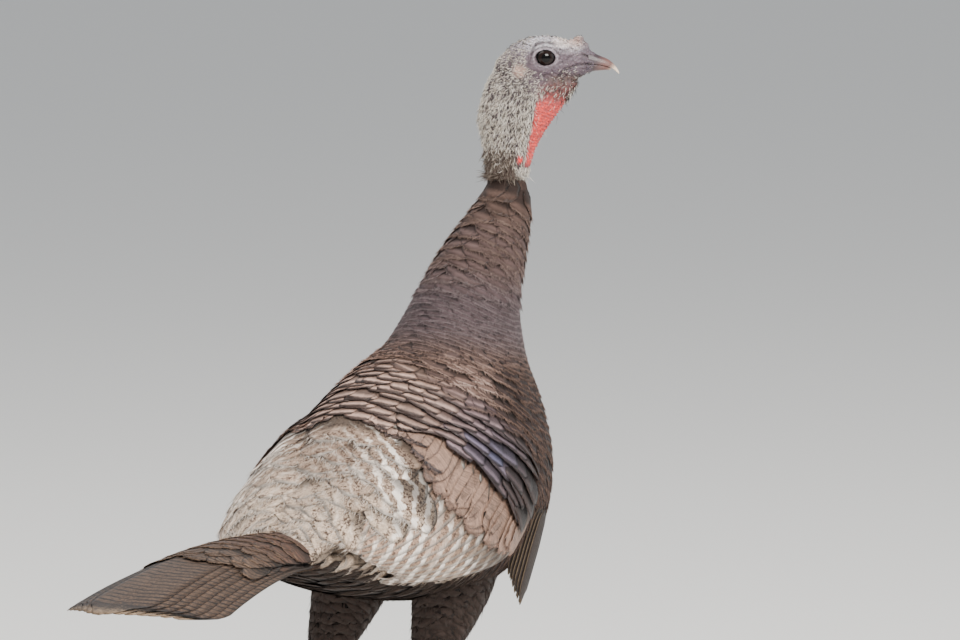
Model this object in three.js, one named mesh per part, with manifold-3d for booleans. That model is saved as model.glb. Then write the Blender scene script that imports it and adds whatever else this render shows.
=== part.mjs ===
// A wild turkey hen at life size, standing still with its neck up and its head turned to its right.
// Millimetres, +Z up, floor at z = 0. The trunk faces -Y and its right side is -X.
// Every outline is taken out to the tips of the feathers.
import * as THREE from "three";
import { mergeVertices } from "three/addons/utils/BufferGeometryUtils.js";
import Module from "manifold-3d";

// ---- driving dimensions ----
const eyeHeight = 621; // floor to the middle of the eye
const eyeForward = -151; // y of the middle of the head at the eyes
const eyeSideways = -39.6; // x of the middle of the head at the eyes
const headTurn = 58; // degrees that the head is turned to the right of the trunk
const partGap = 0.35; // clearance between neighbouring pieces
const cutSize = 1200; // side of the blocks that part the body
const weld = 1e-4; // points closer than this are one
const tension = 0.5; // of every smooth curve through the sections

const bodySides = 28; // points round a section of the neck or trunk
const bodySteps = 20; // sections from the collar to the rump
const headSides = 20;
const headSteps = 13;
const smallSides = 8; // points round a leg, toe or claw
const ballSides = 12; // points round an eye or the snood
const ballRings = 8;

// ---- body: each section runs from a point on the back to one on the front, as [y, z] ----
const bodySections = [
  { back: [-119.8, 526], front: [-151.4, 526], half: 15.4, side: -15 }, // collar, under the bare neck
  { back: [-109, 509], front: [-156.5, 505], half: 20.5, side: -13.5 },
  { back: [-73, 474], front: [-149, 464], half: 30.5, side: -8 },
  { back: [-42, 438], front: [-142, 424], half: 37.5, side: -4 },
  { back: [-11, 404], front: [-151, 381], half: 49, side: -1 }, // root of the neck
  { back: [26, 385], front: [-164, 340], half: 67, side: 0 },
  { back: [60, 365], front: [-163, 290], half: 84, side: 0 }, // breast
  { back: [94, 342], front: [-134, 241], half: 95, side: 0 },
  { back: [124, 317], front: [-66, 209], half: 95, side: 0 }, // widest
  { back: [145, 297], front: [8, 205], half: 86, side: 0 },
  { back: [163, 281], front: [80, 215], half: 67, side: 0 }, // belly
  { back: [176, 270], front: [130, 233], half: 47, side: 0 },
  { back: [184, 263], front: [158, 246], half: 30, side: 0 }, // rump
];
const neckSplit = 3.9 / 12; // where the neck ends, as a share of the body's sections

// ---- folded wings: a wider envelope round the trunk, from wrist to trailing edge ----
const wingSections = [
  { back: [58, 367], front: [-162, 291], half: 89 },
  { back: [95, 346], front: [-134, 239], half: 102 },
  { back: [127, 321], front: [-66, 206], half: 106 },
  { back: [148, 301], front: [4, 202], half: 100 },
  { back: [164, 286], front: [64, 208], half: 87 },
  { back: [175, 275], front: [101, 221], half: 70 },
];
const wingTop = [60, 30, 18, 13, 10, 12]; // degrees from the back to the wing's upper edge
const wingBottom = [80, 101, 106, 106, 107, 100]; // degrees from the back to its lower edge
const wingThickness = 10;
const wingEdge = 1.4;
const wingSwell = { front: 4, rear: 2.6 }; // how soon the wing is at full thickness from each end
const wingSteps = 12;
const wingRows = 11;
const wingTips = 5; // feather tips along the trailing edge
const wingTipDepth = 5;

// ---- primaries: the folded hand of each wing, below the wrist ----
const primaryRoot = [-92, -55, 274];
const primaryTip = [-81, -34, 209];
const primaryWidth = 12;
const primaryThickness = 5;
const primaryTaper = 1.15; // the share of its length at which the bundle would come to nothing
const primaryEnd = 0.03; // square of the tip's width, as a share of the full width
const primarySlope = 0.4; // how far the rear edge stands above the front one, for each mm across
const primarySteps = 7;

// ---- tail ----
const tailSections = [
  { y: 160, z: 256, half: 33, thick: 15, arch: 4 },
  { y: 200, z: 257, half: 40, thick: 14, arch: 6 },
  { y: 240, z: 260, half: 45, thick: 9, arch: 7 },
  { y: 290, z: 257, half: 48, thick: 5.5, arch: 7 },
  { y: 350, z: 247, half: 52, thick: 3.6, arch: 7 },
  { y: 412, z: 232, half: 56, thick: 2.2, arch: 7 },
];
const tailRounding = 26; // how much shorter the outer feathers are
const tailFeathers = 9; // feather tips across the closed tail
const tailTipDepth = 4;
const tailSteps = 9;
const tailSides = 28;

// ---- head: sections across the head, x forward and z up from the middle of the eyes ----
const skullSections = [
  { x: -37.4, top: -3, bottom: -12, half: 3.2 },
  { x: -34, top: 1, bottom: -17, half: 7.2 },
  { x: -27, top: 8.6, bottom: -21, half: 10.6 },
  { x: -17, top: 14.4, bottom: -24, half: 13 },
  { x: -6, top: 16.9, bottom: -24, half: 13.8 },
  { x: 4, top: 16.9, bottom: -22, half: 12.9 },
  { x: 13, top: 15.2, bottom: -19.5, half: 11 },
  { x: 21, top: 12.6, bottom: -17.6, half: 8.8 },
  { x: 28, top: 9.4, bottom: -15.8, half: 7.2 },
  { x: 33.5, top: 6.2, bottom: -12.6, half: 6 },
];
// throat and bare neck: level sections, z from the middle of the eyes
const throatSections = [
  { z: -10, back: -40, front: 22, half: 9.5 },
  { z: -20, back: -45.5, front: 26.4, half: 12.6 },
  { z: -30, back: -48.6, front: 20.4, half: 14.4 },
  { z: -40, back: -51, front: 13.4, half: 15.6 },
  { z: -50, back: -51.5, front: 6, half: 16.2 },
  { z: -60, back: -49.8, front: -0.8, half: 16.2 },
  { z: -75, back: -46.8, front: -8.4, half: 15.8 },
  { z: -94.6, back: -44.8, front: -13.6, half: 15.4 },
];
const throatPinch = 0.22; // how much narrower the throat is than the nape
const jawCut = -29; // height of the cut between head and bare neck

const billUpper = [
  { x: 33.85, base: -5, crown: 6, half: 5.8 },
  { x: 38, base: -5.3, crown: 3.5, half: 5.2 },
  { x: 42.5, base: -5.8, crown: 1.3, half: 4.6 },
  { x: 47, base: -6.5, crown: -0.5, half: 3.9 },
  { x: 51, base: -7.7, crown: -2.6, half: 3.1 },
  { x: 54.5, base: -9.6, crown: -6, half: 2.1 },
  { x: 57.2, base: -12, crown: -9.9, half: 1.1 },
  { x: 58.3, base: -13.2, crown: -12.2, half: 0.4 },
];
const billLower = [
  { x: 33.85, base: -5.5, crown: -12.2, half: 5.2 },
  { x: 38, base: -5.8, crown: -11, half: 4.6 },
  { x: 43, base: -6.4, crown: -10.4, half: 3.7 },
  { x: 48, base: -7.3, crown: -10, half: 2.6 },
  { x: 51.6, base: -8.8, crown: -10, half: 1.1 },
];
const billSides = 8;
const billSteps = 9;

const snood = { at: [26, 0, 12.4], size: [4.2, 3, 5], lean: 20 }; // fleshy knob on the forehead
const eye = { at: [0, 9, 0], size: [8.4, 6.3, 6.9] }; // the left one: the right one mirrors it

// ---- legs: the left one, with +x outwards; the right one mirrors it ----
const legSpread = 44; // x of each foot
const footForward = { left: 17, right: 3 }; // y of each foot's joint
const ankle = { x: 43, y: 36, z: 134 }; // y is behind the foot's joint
const thighSections = [
  { dx: -2, dy: -24, z: 236, deep: 44, wide: 30 },
  { dx: -1, dy: -10, z: 206, deep: 36, wide: 27 },
  { dx: 0, dy: 8, z: 178, deep: 25, wide: 20 },
  { dx: 0, dy: 24, z: 157, deep: 15, wide: 13 },
  { dx: 0, dy: 33, z: 143, deep: 9.5, wide: 9 },
  { dx: 0, dy: 36, z: 136, deep: 7.6, wide: 7.4 },
];
const thighSteps = 8;
const shankSections = [
  { up: 1, deep: 7.2, wide: 7 }, // up is the share of the way from foot to ankle
  { up: 0.93, deep: 8.2, wide: 7.2 },
  { up: 0.82, deep: 5.8, wide: 5 },
  { up: 0.5, deep: 5.2, wide: 4.3 },
  { up: 0.2, deep: 5.4, wide: 4.6 },
  { up: 0.08, deep: 7, wide: 6.8 },
  { up: 0, deep: 8.6, wide: 8.6 },
];
const shankSteps = 10;
const footJointHeight = 7;
const toes = {
  inner: { turn: -38, length: 46, root: 5, end: 3.6 }, // turn is degrees outwards from straight ahead
  middle: { turn: 2, length: 62, root: 5.6, end: 3.9 },
  outer: { turn: 40, length: 50, root: 5, end: 3.6 },
  hind: { turn: 172, length: 24, root: 4, end: 3.2 },
};
const toeOut = 8; // degrees that each foot points outwards
const toeSteps = 8;
const toeBends = { root: 0.3, end: 0.65, rise: 1.1 }; // shares of the length, and height over the end's
const knuckle = 0.55; // height of the pads under and over each toe joint
const knuckleSpan = 15; // distance from one toe joint to the next
const soleShare = 0.8; // height of a toe's middle, as a share of its radius
const clawLength = { inner: 12, middle: 14, outer: 12, hind: 10 };
const claw = { root: 2.9, tip: 0.45, taper: 1.4, bend: 0.6, arch: 1.7, point: 0.7, steps: 4 };

// ---- materials ----
function finish(color, roughness) {
  return new THREE.MeshStandardMaterial({ color, roughness, metalness: 0 });
}
const plumage = () => finish(0x5a4a42, 0.75);
const palePlumage = () => finish(0xb8a595, 0.8);
const bareSkin = () => finish(0x9a97a6, 0.6);
const redSkin = () => finish(0xc65c58, 0.55);
const horn = () => finish(0xc0a29c, 0.4);
const scaledSkin = () => finish(0xb08a80, 0.5);
const eyeGloss = () => finish(0x1c1210, 0.08);
const clawHorn = () => finish(0x3b322d, 0.45);

// ---- solids ----
const wasm = await Module();
wasm.setup();

function toSolid(geometry) {
  const bare = geometry.clone();
  bare.deleteAttribute("normal");
  bare.deleteAttribute("uv");
  const merged = mergeVertices(bare, weld);
  const triVerts = new Uint32Array(merged.index.array);
  const vertProperties = merged.attributes.position.array;
  return new wasm.Manifold(new wasm.Mesh({ numProp: 3, vertProperties, triVerts }));
}

// The geometry of a solid's largest piece: a cut may leave crumbs.
function toGeometry(solid) {
  const pieces = solid.decompose().sort((a, b) => b.volume() - a.volume());
  const mesh = pieces[0].getMesh();
  const positions = new Float32Array(mesh.numVert * 3);
  for (let i = 0; i < mesh.numVert; i += 1) {
    const start = i * mesh.numProp;
    positions.set(mesh.vertProperties.subarray(start, start + 3), i * 3);
  }
  const geometry = new THREE.BufferGeometry();
  geometry.setAttribute("position", new THREE.BufferAttribute(positions, 3));
  geometry.setIndex(new THREE.BufferAttribute(new Uint32Array(mesh.triVerts), 1));
  geometry.computeVertexNormals();
  return geometry;
}

// A block whose lower face passes through a point, square to a direction.
function blockAbove(point, direction) {
  const block = new THREE.BoxGeometry(cutSize, cutSize, cutSize);
  block.translate(0, 0, cutSize / 2);
  const up = new THREE.Vector3(0, 0, 1);
  const turn = new THREE.Quaternion().setFromUnitVectors(up, direction.clone().normalize());
  block.applyQuaternion(turn);
  block.translate(point.x, point.y, point.z);
  return toSolid(block);
}

// ---- surfaces ----
// A closed body through rings of points, all with the same count.
function loft(rings) {
  const count = rings[0].length;
  const points = rings.flat();
  const middle = (ring) => ring.reduce((sum, p) => sum.add(p), new THREE.Vector3()).divideScalar(count);
  points.push(middle(rings[0]), middle(rings[rings.length - 1]));
  const index = [];
  for (let r = 0; r + 1 < rings.length; r += 1) {
    for (let i = 0; i < count; i += 1) {
      const a = r * count + i;
      const b = r * count + ((i + 1) % count);
      index.push(a, b, a + count, b, b + count, a + count);
    }
  }
  const last = (rings.length - 1) * count;
  for (let i = 0; i < count; i += 1) {
    const next = (i + 1) % count;
    index.push(points.length - 2, next, i, points.length - 1, last + i, last + next);
  }
  return outward(new THREE.BufferGeometry().setFromPoints(points).setIndex(index));
}

// Turns a closed geometry's faces outwards.
function outward(geometry) {
  const index = geometry.index;
  const at = geometry.attributes.position;
  const [a, b, c] = [new THREE.Vector3(), new THREE.Vector3(), new THREE.Vector3()];
  let volume = 0;
  for (let i = 0; i < index.count; i += 3) {
    a.fromBufferAttribute(at, index.getX(i));
    b.fromBufferAttribute(at, index.getX(i + 1));
    c.fromBufferAttribute(at, index.getX(i + 2));
    volume += a.dot(b.cross(c));
  }
  if (volume < 0) index.array.reverse();
  return geometry;
}

// A closed sheet between two grids of points, each a list of rows.
function sheet(outer, inner) {
  const rim = (rows) => {
    const left = rows.map((row) => row[0]);
    const right = rows.map((row) => row[row.length - 1]);
    const last = rows[rows.length - 1].slice(1, -1);
    return [...rows[0].slice(1, -1), ...right, ...last.reverse(), ...left.reverse()];
  };
  const points = [];
  const index = [];
  const addGrid = (rows, flip) => {
    const start = points.length;
    const width = rows[0].length;
    rows.forEach((row) => points.push(...row));
    for (let r = 0; r + 1 < rows.length; r += 1) {
      for (let i = 0; i + 1 < width; i += 1) {
        const a = start + r * width + i;
        const quad = [a, a + 1, a + width, a + 1, a + width + 1, a + width];
        index.push(...(flip ? quad.reverse() : quad));
      }
    }
  };
  addGrid(outer, false);
  addGrid(inner, true);
  const outerRim = rim(outer);
  const innerRim = rim(inner);
  const start = points.length;
  points.push(...outerRim, ...innerRim);
  outerRim.forEach((_, i) => {
    const a = start + i;
    const b = start + ((i + 1) % outerRim.length);
    index.push(b, a, a + outerRim.length, b, a + outerRim.length, b + outerRim.length);
  });
  const loose = new THREE.BufferGeometry().setFromPoints(points).setIndex(index);
  return outward(mergeVertices(loose, weld));
}

// A smooth curve through numbers or points given section by section, read at a share from 0 to 1.
function through(sections, read) {
  const curve = new THREE.CatmullRomCurve3(sections.map(read), false, "catmullrom", tension);
  return (share) => curve.getPoint(THREE.MathUtils.clamp(share, 0, 1));
}

function range(count, make) {
  return Array.from({ length: count }, (_, i) => make(i));
}

// ---- neck and trunk ----
function sectionCurves(sections) {
  return {
    back: through(sections, (s) => new THREE.Vector3(s.side ?? 0, ...s.back)),
    front: through(sections, (s) => new THREE.Vector3(s.side ?? 0, ...s.front)),
    half: through(sections, (s) => new THREE.Vector3(s.half, 0, 0)),
  };
}

// A point of a section: angle 0 is the back, 90 the left side, 180 the front; grow moves it outwards.
function sectionPoint(curves, share, degrees, grow) {
  const back = curves.back(share);
  const front = curves.front(share);
  const angle = THREE.MathUtils.degToRad(degrees);
  const middle = back.clone().add(front).multiplyScalar(0.5);
  const reach = back.sub(middle);
  const depth = reach.length();
  const upright = reach.divideScalar(depth);
  const width = curves.half(share).x + grow;
  middle.addScaledVector(upright, (depth + grow) * Math.cos(angle));
  middle.x += width * Math.sin(angle);
  return middle;
}

const bodyCurves = sectionCurves(bodySections);
const wingCurves = sectionCurves(wingSections);

function bodyBetween(from, to, grow) {
  const rings = range(bodySteps + 1, (r) => {
    const share = THREE.MathUtils.lerp(from, to, r / bodySteps);
    return range(bodySides, (i) => sectionPoint(bodyCurves, share, (360 * i) / bodySides, grow));
  });
  return toSolid(loft(rings));
}

// The plane of the cut between neck and trunk.
function neckPlane() {
  const back = bodyCurves.back(neckSplit);
  const front = bodyCurves.front(neckSplit);
  const along = back.clone().sub(front);
  return { point: front, up: new THREE.Vector3(1, 0, 0).cross(along).normalize() };
}

// ---- wings ----
function scallop(share, count) {
  return Math.abs(Math.sin(Math.PI * count * share));
}

function wingSolid(side, grow) {
  const rowAt = (step, inward) => {
    const along = step / (wingSteps - 1);
    const scaled = along * (wingTop.length - 1);
    const low = Math.min(Math.floor(scaled), wingTop.length - 2);
    const top = THREE.MathUtils.lerp(wingTop[low], wingTop[low + 1], scaled - low);
    const bottom = THREE.MathUtils.lerp(wingBottom[low], wingBottom[low + 1], scaled - low);
    return range(wingRows, (i) => {
      const across = i / (wingRows - 1);
      const swell = Math.min(1, wingSwell.front * along, wingSwell.rear * (1 - along));
      const body = Math.sqrt(Math.sin(Math.PI * across)) * swell;
      const depth = Math.max(wingEdge, wingThickness * Math.max(body, 0));
      const level = inward ? -depth - grow : grow;
      const point = sectionPoint(wingCurves, along, side * THREE.MathUtils.lerp(top, bottom, across), level);
      if (step === wingSteps - 1) point.y += wingTipDepth * scallop(across, wingTips);
      return point;
    });
  };
  const rows = (inward) => range(wingSteps, (step) => rowAt(step, inward));
  return toSolid(sheet(rows(false), rows(true)));
}

function primarySolid(side) {
  const root = new THREE.Vector3(...primaryRoot);
  const tip = new THREE.Vector3(...primaryTip);
  const rings = range(primarySteps + 1, (r) => {
    const share = r / primarySteps;
    const middle = root.clone().lerp(tip, share);
    const width = primaryWidth * Math.sqrt(Math.max(primaryEnd, 1 - share ** 3));
    const thick = primaryThickness * (1 - share / primaryTaper);
    return range(smallSides, (i) => {
      const angle = (2 * Math.PI * i) / smallSides;
      const across = width * Math.cos(angle);
      const offset = new THREE.Vector3(thick * Math.sin(angle), across, primarySlope * across);
      return offset.add(middle);
    });
  });
  const solid = toSolid(loft(rings));
  return side < 0 ? solid : solid.mirror([1, 0, 0]);
}

// ---- tail ----
function tailSolid() {
  const middle = through(tailSections, (s) => new THREE.Vector3(0, s.y, s.z));
  const size = through(tailSections, (s) => new THREE.Vector3(s.half, s.thick, s.arch));
  const rings = range(tailSteps + 1, (r) => {
    const share = r / tailSteps;
    const at = middle(share);
    const { x: half, y: thick, z: arch } = size(share);
    return range(tailSides, (i) => {
      const angle = (2 * Math.PI * i) / tailSides;
      const across = Math.cos(angle);
      const shorter = tailRounding * across ** 2 * share;
      const tips = share < 1 ? 0 : tailTipDepth * scallop((across + 1) / 2, tailFeathers);
      const lift = arch * (0.5 - across ** 2) + thick * Math.sin(angle);
      return new THREE.Vector3(half * across, at.y - shorter + tips, at.z + lift);
    });
  });
  return toSolid(loft(rings));
}

// ---- head ----
function skullSolid() {
  const size = through(skullSections, (s) => new THREE.Vector3(s.top, s.bottom, s.half));
  const place = through(skullSections, (s) => new THREE.Vector3(s.x, 0, 0));
  const rings = range(headSteps + 1, (r) => {
    const { x: top, y: bottom, z: half } = size(r / headSteps);
    return range(headSides, (i) => {
      const angle = (2 * Math.PI * i) / headSides;
      const height = (top + bottom) / 2 + ((top - bottom) / 2) * Math.cos(angle);
      return new THREE.Vector3(place(r / headSteps).x, half * Math.sin(angle), height);
    });
  });
  return toSolid(loft(rings));
}

function throatSolid() {
  const size = through(throatSections, (s) => new THREE.Vector3(s.back, s.front, s.half));
  const place = through(throatSections, (s) => new THREE.Vector3(0, 0, s.z));
  const rings = range(headSteps + 1, (r) => {
    const { x: back, y: front, z: half } = size(r / headSteps);
    return range(headSides, (i) => {
      const angle = (2 * Math.PI * i) / headSides;
      const width = half * (1 - throatPinch * Math.cos(angle) ** 3);
      const x = (back + front) / 2 + ((front - back) / 2) * Math.cos(angle);
      return new THREE.Vector3(x, width * Math.sin(angle), place(r / headSteps).z);
    });
  });
  return toSolid(loft(rings));
}

// One half of the bill: an arch over a flat base.
function billSolid(sections) {
  const size = through(sections, (s) => new THREE.Vector3(s.base, s.crown, s.half));
  const place = through(sections, (s) => new THREE.Vector3(s.x, 0, 0));
  const rings = range(billSteps + 1, (r) => {
    const { x: base, y: crown, z: half } = size(r / billSteps);
    return range(billSides + 1, (i) => {
      const angle = (Math.PI * i) / billSides;
      const height = base + (crown - base) * Math.sin(angle);
      return new THREE.Vector3(place(r / billSteps).x, half * Math.cos(angle), height);
    });
  });
  return toSolid(loft(rings));
}

function ellipsoid({ at, size, lean = 0 }, side, grow) {
  const ball = new THREE.SphereGeometry(1, ballSides, ballRings);
  ball.scale(size[0] + grow, size[1] + grow, size[2] + grow);
  ball.rotateY(THREE.MathUtils.degToRad(lean));
  ball.translate(at[0], side * at[1], at[2]);
  return toSolid(ball);
}

// ---- legs ----
// A limb through level rings, each with a middle and its depth and width.
function limb(middles, sizes, steps) {
  const path = through(middles, (p) => p);
  const size = through(sizes, (p) => p);
  const rings = range(steps + 1, (r) => {
    const at = path(r / steps);
    const { x: wide, y: deep } = size(r / steps);
    return range(smallSides, (i) => {
      const angle = (2 * Math.PI * i) / smallSides;
      return new THREE.Vector3(at.x + wide * Math.cos(angle), at.y + deep * Math.sin(angle), at.z);
    });
  });
  return toSolid(loft(rings));
}

function thighSolid() {
  const middles = thighSections.map((s) => new THREE.Vector3(ankle.x + s.dx, s.dy, s.z));
  const sizes = thighSections.map((s) => new THREE.Vector3(s.wide, s.deep, 0));
  return limb(middles, sizes, thighSteps);
}

function shankSolid(grow) {
  const foot = new THREE.Vector3(legSpread, 0, 0);
  const top = new THREE.Vector3(ankle.x, ankle.y, ankle.z + grow);
  const middles = shankSections.map((s) => foot.clone().lerp(top, s.up));
  const sizes = shankSections.map((s) => new THREE.Vector3(s.wide + grow, s.deep + grow, 0));
  return limb(middles, sizes, shankSteps);
}

// Rings square to a path, bent only up and down.
function tapered(path, radiusAt, steps) {
  const side = new THREE.Vector3();
  const rings = range(steps + 1, (r) => {
    const share = r / steps;
    const at = path.getPoint(share);
    const along = path.getTangent(share);
    side.set(-along.y, along.x, 0).normalize();
    const up = along.clone().cross(side).negate();
    const radius = radiusAt(share);
    return range(smallSides, (i) => {
      const angle = (2 * Math.PI * i) / smallSides;
      const point = at.clone().addScaledVector(side, radius * Math.cos(angle));
      return point.addScaledVector(up, radius * Math.sin(angle));
    });
  });
  return toSolid(loft(rings));
}

function toeDirection(toe) {
  const turn = THREE.MathUtils.degToRad(toe.turn + toeOut);
  return new THREE.Vector3(Math.sin(turn), -Math.cos(turn), 0);
}

function toeSolid(toe, grow) {
  const ahead = toeDirection(toe);
  const joint = new THREE.Vector3(legSpread, 0, 0);
  const bend = (share, height) => joint.clone().addScaledVector(ahead, toe.length * share).setZ(height);
  const path = new THREE.CatmullRomCurve3([
    bend(0, footJointHeight),
    bend(toeBends.root, toe.root),
    bend(toeBends.end, toe.end * toeBends.rise),
    bend(1, toe.end * soleShare),
  ]);
  const radiusAt = (share) => {
    const plain = THREE.MathUtils.lerp(toe.root, toe.end, share);
    return plain + knuckle * Math.cos((2 * Math.PI * toe.length * share) / knuckleSpan) + grow;
  };
  return tapered(path, radiusAt, toeSteps);
}

function clawSolid(toe, length) {
  const ahead = toeDirection(toe);
  const root = new THREE.Vector3(legSpread, 0, 0).addScaledVector(ahead, toe.length + partGap);
  const bend = (share, height) => root.clone().addScaledVector(ahead, length * share).setZ(height);
  const path = new THREE.QuadraticBezierCurve3(
    bend(0, toe.end),
    bend(claw.bend, toe.end * claw.arch),
    bend(1, claw.point),
  );
  const radiusAt = (share) => Math.max(claw.tip, claw.root * (1 - share ** claw.taper));
  return tapered(path, radiusAt, claw.steps);
}

// ---- assembly ----
const bird = new THREE.Group();
bird.name = "wild_turkey_hen";

function add(parent, name, solid, material) {
  const mesh = new THREE.Mesh(toGeometry(solid), material);
  mesh.name = name;
  parent.add(mesh);
}

function addHead() {
  const head = new THREE.Group();
  head.position.set(eyeSideways, eyeForward, eyeHeight);
  head.rotation.z = THREE.MathUtils.degToRad(-90 - headTurn);
  bird.add(head);
  const up = new THREE.Vector3(0, 0, 1);
  const whole = skullSolid().add(throatSolid());
  const above = blockAbove(new THREE.Vector3(0, 0, jawCut), up);
  const below = blockAbove(new THREE.Vector3(0, 0, jawCut - partGap), up.clone().negate());
  let skull = whole.intersect(above);
  for (const side of [-1, 1]) skull = skull.subtract(ellipsoid(eye, side, partGap));
  skull = skull.subtract(ellipsoid(snood, 1, partGap));
  add(head, "head", skull, bareSkin());
  add(head, "neck_upper", whole.intersect(below), redSkin());
  add(head, "bill_upper", billSolid(billUpper), horn());
  add(head, "bill_lower", billSolid(billLower), horn());
  add(head, "snood", ellipsoid(snood, 1, 0), redSkin());
  add(head, "eye_left", ellipsoid(eye, 1, 0), eyeGloss());
  add(head, "eye_right", ellipsoid(eye, -1, 0), eyeGloss());
}

function addBody() {
  const { point, up } = neckPlane();
  const lower = point.clone().addScaledVector(up, -partGap);
  const whole = bodyBetween(0, 1, 0);
  const grown = bodyBetween(0, 1, partGap);
  add(bird, "neck_lower", whole.intersect(blockAbove(point, up)), plumage());
  let trunk = whole.intersect(blockAbove(lower, up.clone().negate()));
  let tail = tailSolid().subtract(grown);
  for (const [name, side] of [["right", -1], ["left", 1]]) {
    const spread = wingSolid(side, partGap);
    trunk = trunk.subtract(spread);
    tail = tail.subtract(spread);
    add(bird, `wing_${name}`, wingSolid(side, 0), palePlumage());
    const hand = primarySolid(side).subtract(grown).subtract(spread);
    add(bird, `primaries_${name}`, hand, plumage());
  }
  add(bird, "trunk", trunk, plumage());
  add(bird, "tail", tail, plumage());
  return grown;
}

function addLeg(name, grownBody) {
  const side = name === "left" ? 1 : -1;
  const mirror = (solid) => (side > 0 ? solid : solid.mirror([1, 0, 0]));
  const leg = new THREE.Group();
  leg.position.y = footForward[name];
  bird.add(leg);
  const aboveFloor = blockAbove(new THREE.Vector3(0, 0, 0), new THREE.Vector3(0, 0, 1));
  const body = mirror(grownBody.translate([0, -footForward[name], 0]));
  add(leg, `thigh_${name}`, mirror(thighSolid().subtract(body)), plumage());
  add(leg, `shank_${name}`, mirror(shankSolid(0).intersect(aboveFloor)), scaledSkin());
  let taken = shankSolid(partGap);
  for (const [toeName, toe] of Object.entries(toes)) {
    const solid = toeSolid(toe, 0).intersect(aboveFloor).subtract(taken);
    add(leg, `toe_${name}_${toeName}`, mirror(solid), scaledSkin());
    const around = toeSolid(toe, partGap);
    taken = taken.add(around);
    const nail = clawSolid(toe, clawLength[toeName]).intersect(aboveFloor).subtract(around);
    add(leg, `claw_${name}_${toeName}`, mirror(nail), clawHorn());
  }
}

addHead();
const grownBody = addBody();
addLeg("left", grownBody);
addLeg("right", grownBody);

// The frame's origin is on the floor, under the middle of the bird's box.
const frame = new THREE.Group();
frame.add(bird);
frame.updateMatrixWorld(true);
const box = new THREE.Box3().setFromObject(frame, true);
bird.position.set(-(box.min.x + box.max.x) / 2, -(box.min.y + box.max.y) / 2, -box.min.z);

export default frame;
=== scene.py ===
# A wild turkey hen standing with its neck up and its head turned to its right.
# Metres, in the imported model's frame. Tables of shape are in millimetres and go through toFrame.
import math

import bmesh
import bpy
import numpy as np
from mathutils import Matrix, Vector, kdtree


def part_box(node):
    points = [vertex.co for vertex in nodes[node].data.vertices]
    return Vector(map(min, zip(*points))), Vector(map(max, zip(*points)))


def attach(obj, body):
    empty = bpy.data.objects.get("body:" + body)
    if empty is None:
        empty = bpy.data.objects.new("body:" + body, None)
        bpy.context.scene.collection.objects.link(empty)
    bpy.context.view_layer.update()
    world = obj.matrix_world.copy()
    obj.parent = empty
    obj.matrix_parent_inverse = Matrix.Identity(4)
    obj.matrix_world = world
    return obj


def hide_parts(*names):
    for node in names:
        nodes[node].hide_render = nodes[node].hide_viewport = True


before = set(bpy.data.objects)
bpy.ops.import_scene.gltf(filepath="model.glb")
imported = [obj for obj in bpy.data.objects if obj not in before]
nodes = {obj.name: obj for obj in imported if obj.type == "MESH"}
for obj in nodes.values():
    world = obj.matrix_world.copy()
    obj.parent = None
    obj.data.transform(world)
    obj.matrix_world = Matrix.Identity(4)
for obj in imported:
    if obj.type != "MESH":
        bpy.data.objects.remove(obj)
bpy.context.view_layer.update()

chance = np.random.default_rng(7)
shift = np.array([0.0, -116.86, 0.0])
toes = ("inner", "middle", "outer", "hind")


def toFrame(points):
    return (np.asarray(points, float) + shift) * 0.001


def deselectAll():
    for thing in list(bpy.context.selected_objects):
        thing.select_set(False)


def activate(thing):
    deselectAll()
    thing.select_set(True)
    bpy.context.view_layer.objects.active = thing


def applyModifiers(thing):
    activate(thing)
    for modifier in list(thing.modifiers):
        bpy.ops.object.modifier_apply(modifier=modifier.name)


def placeInMesh(thing):
    activate(thing)
    bpy.ops.object.transform_apply(location=True, rotation=True, scale=True)


def smoothAll(thing):
    thing.data.polygons.foreach_set("use_smooth", [True] * len(thing.data.polygons))
    thing.data.update()


def readArray(items, key, width=3):
    flat = np.empty(len(items) * width, np.float32)
    items.foreach_get(key, flat)
    return flat.reshape(-1, width)


def vertexArray(mesh):
    return readArray(mesh.vertices, "co").astype(float)


def normalArray(mesh):
    return readArray(mesh.vertex_normals, "vector").astype(float)


def setVertices(mesh, points):
    mesh.vertices.foreach_set("co", np.asarray(points, np.float32).ravel())
    mesh.update()


def ramp(value, low, high):
    t = np.clip((value - low) / (high - low), 0, 1)
    return t * t * (3 - 2 * t)


def mixed(a, b, share):
    return np.asarray(a) * (1 - share[..., None]) + np.asarray(b) * share[..., None]


def mixedShare(value, target, share):
    return value * (1 - share) + target * share


def bell(value, width, power=2):
    return np.exp(-(value / width) ** power)


def wobble(points, scale, seed):
    # smooth noise from a few crossed waves, the same on every run
    mixer = np.random.default_rng(seed)
    total = np.zeros(points.shape[:-1])
    for _ in range(6):
        direction = mixer.normal(size=3)
        direction /= np.linalg.norm(direction)
        pitch = scale * (0.55 + 0.9 * mixer.random())
        total += np.sin(points @ direction / pitch * 2 * math.pi + mixer.random() * 7)
    return total / 6


# surfaces that the plumage lies on
def sectionReader(rows):
    rows = np.array(rows, float)
    padded = np.vstack([2 * rows[0] - rows[1], rows, 2 * rows[-1] - rows[-2]])

    def curve(at):
        first = np.minimum(at.astype(int), len(rows) - 2)
        f = (at - first)[..., None]
        p0, p1, p2, p3 = (padded[first + i] for i in range(4))
        out, back = 0.5 * (p2 - p0), 0.5 * (p3 - p1)
        cubic = (2 * p1 - 2 * p2 + out + back) * f ** 3
        return cubic + (3 * p2 - 3 * p1 - 2 * out - back) * f ** 2 + out * f + p1

    def read(at):
        at = np.asarray(at, float)
        inside = np.clip(at, 0, len(rows) - 1)
        value = curve(inside)
        beyond = (at - inside)[..., None]
        if np.any(beyond):
            step = np.where(beyond > 0, value - curve(np.clip(inside - 0.02, 0, None)), curve(inside + 0.02) - value)
            value = value + beyond * step / 0.02
        return value

    return read


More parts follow.
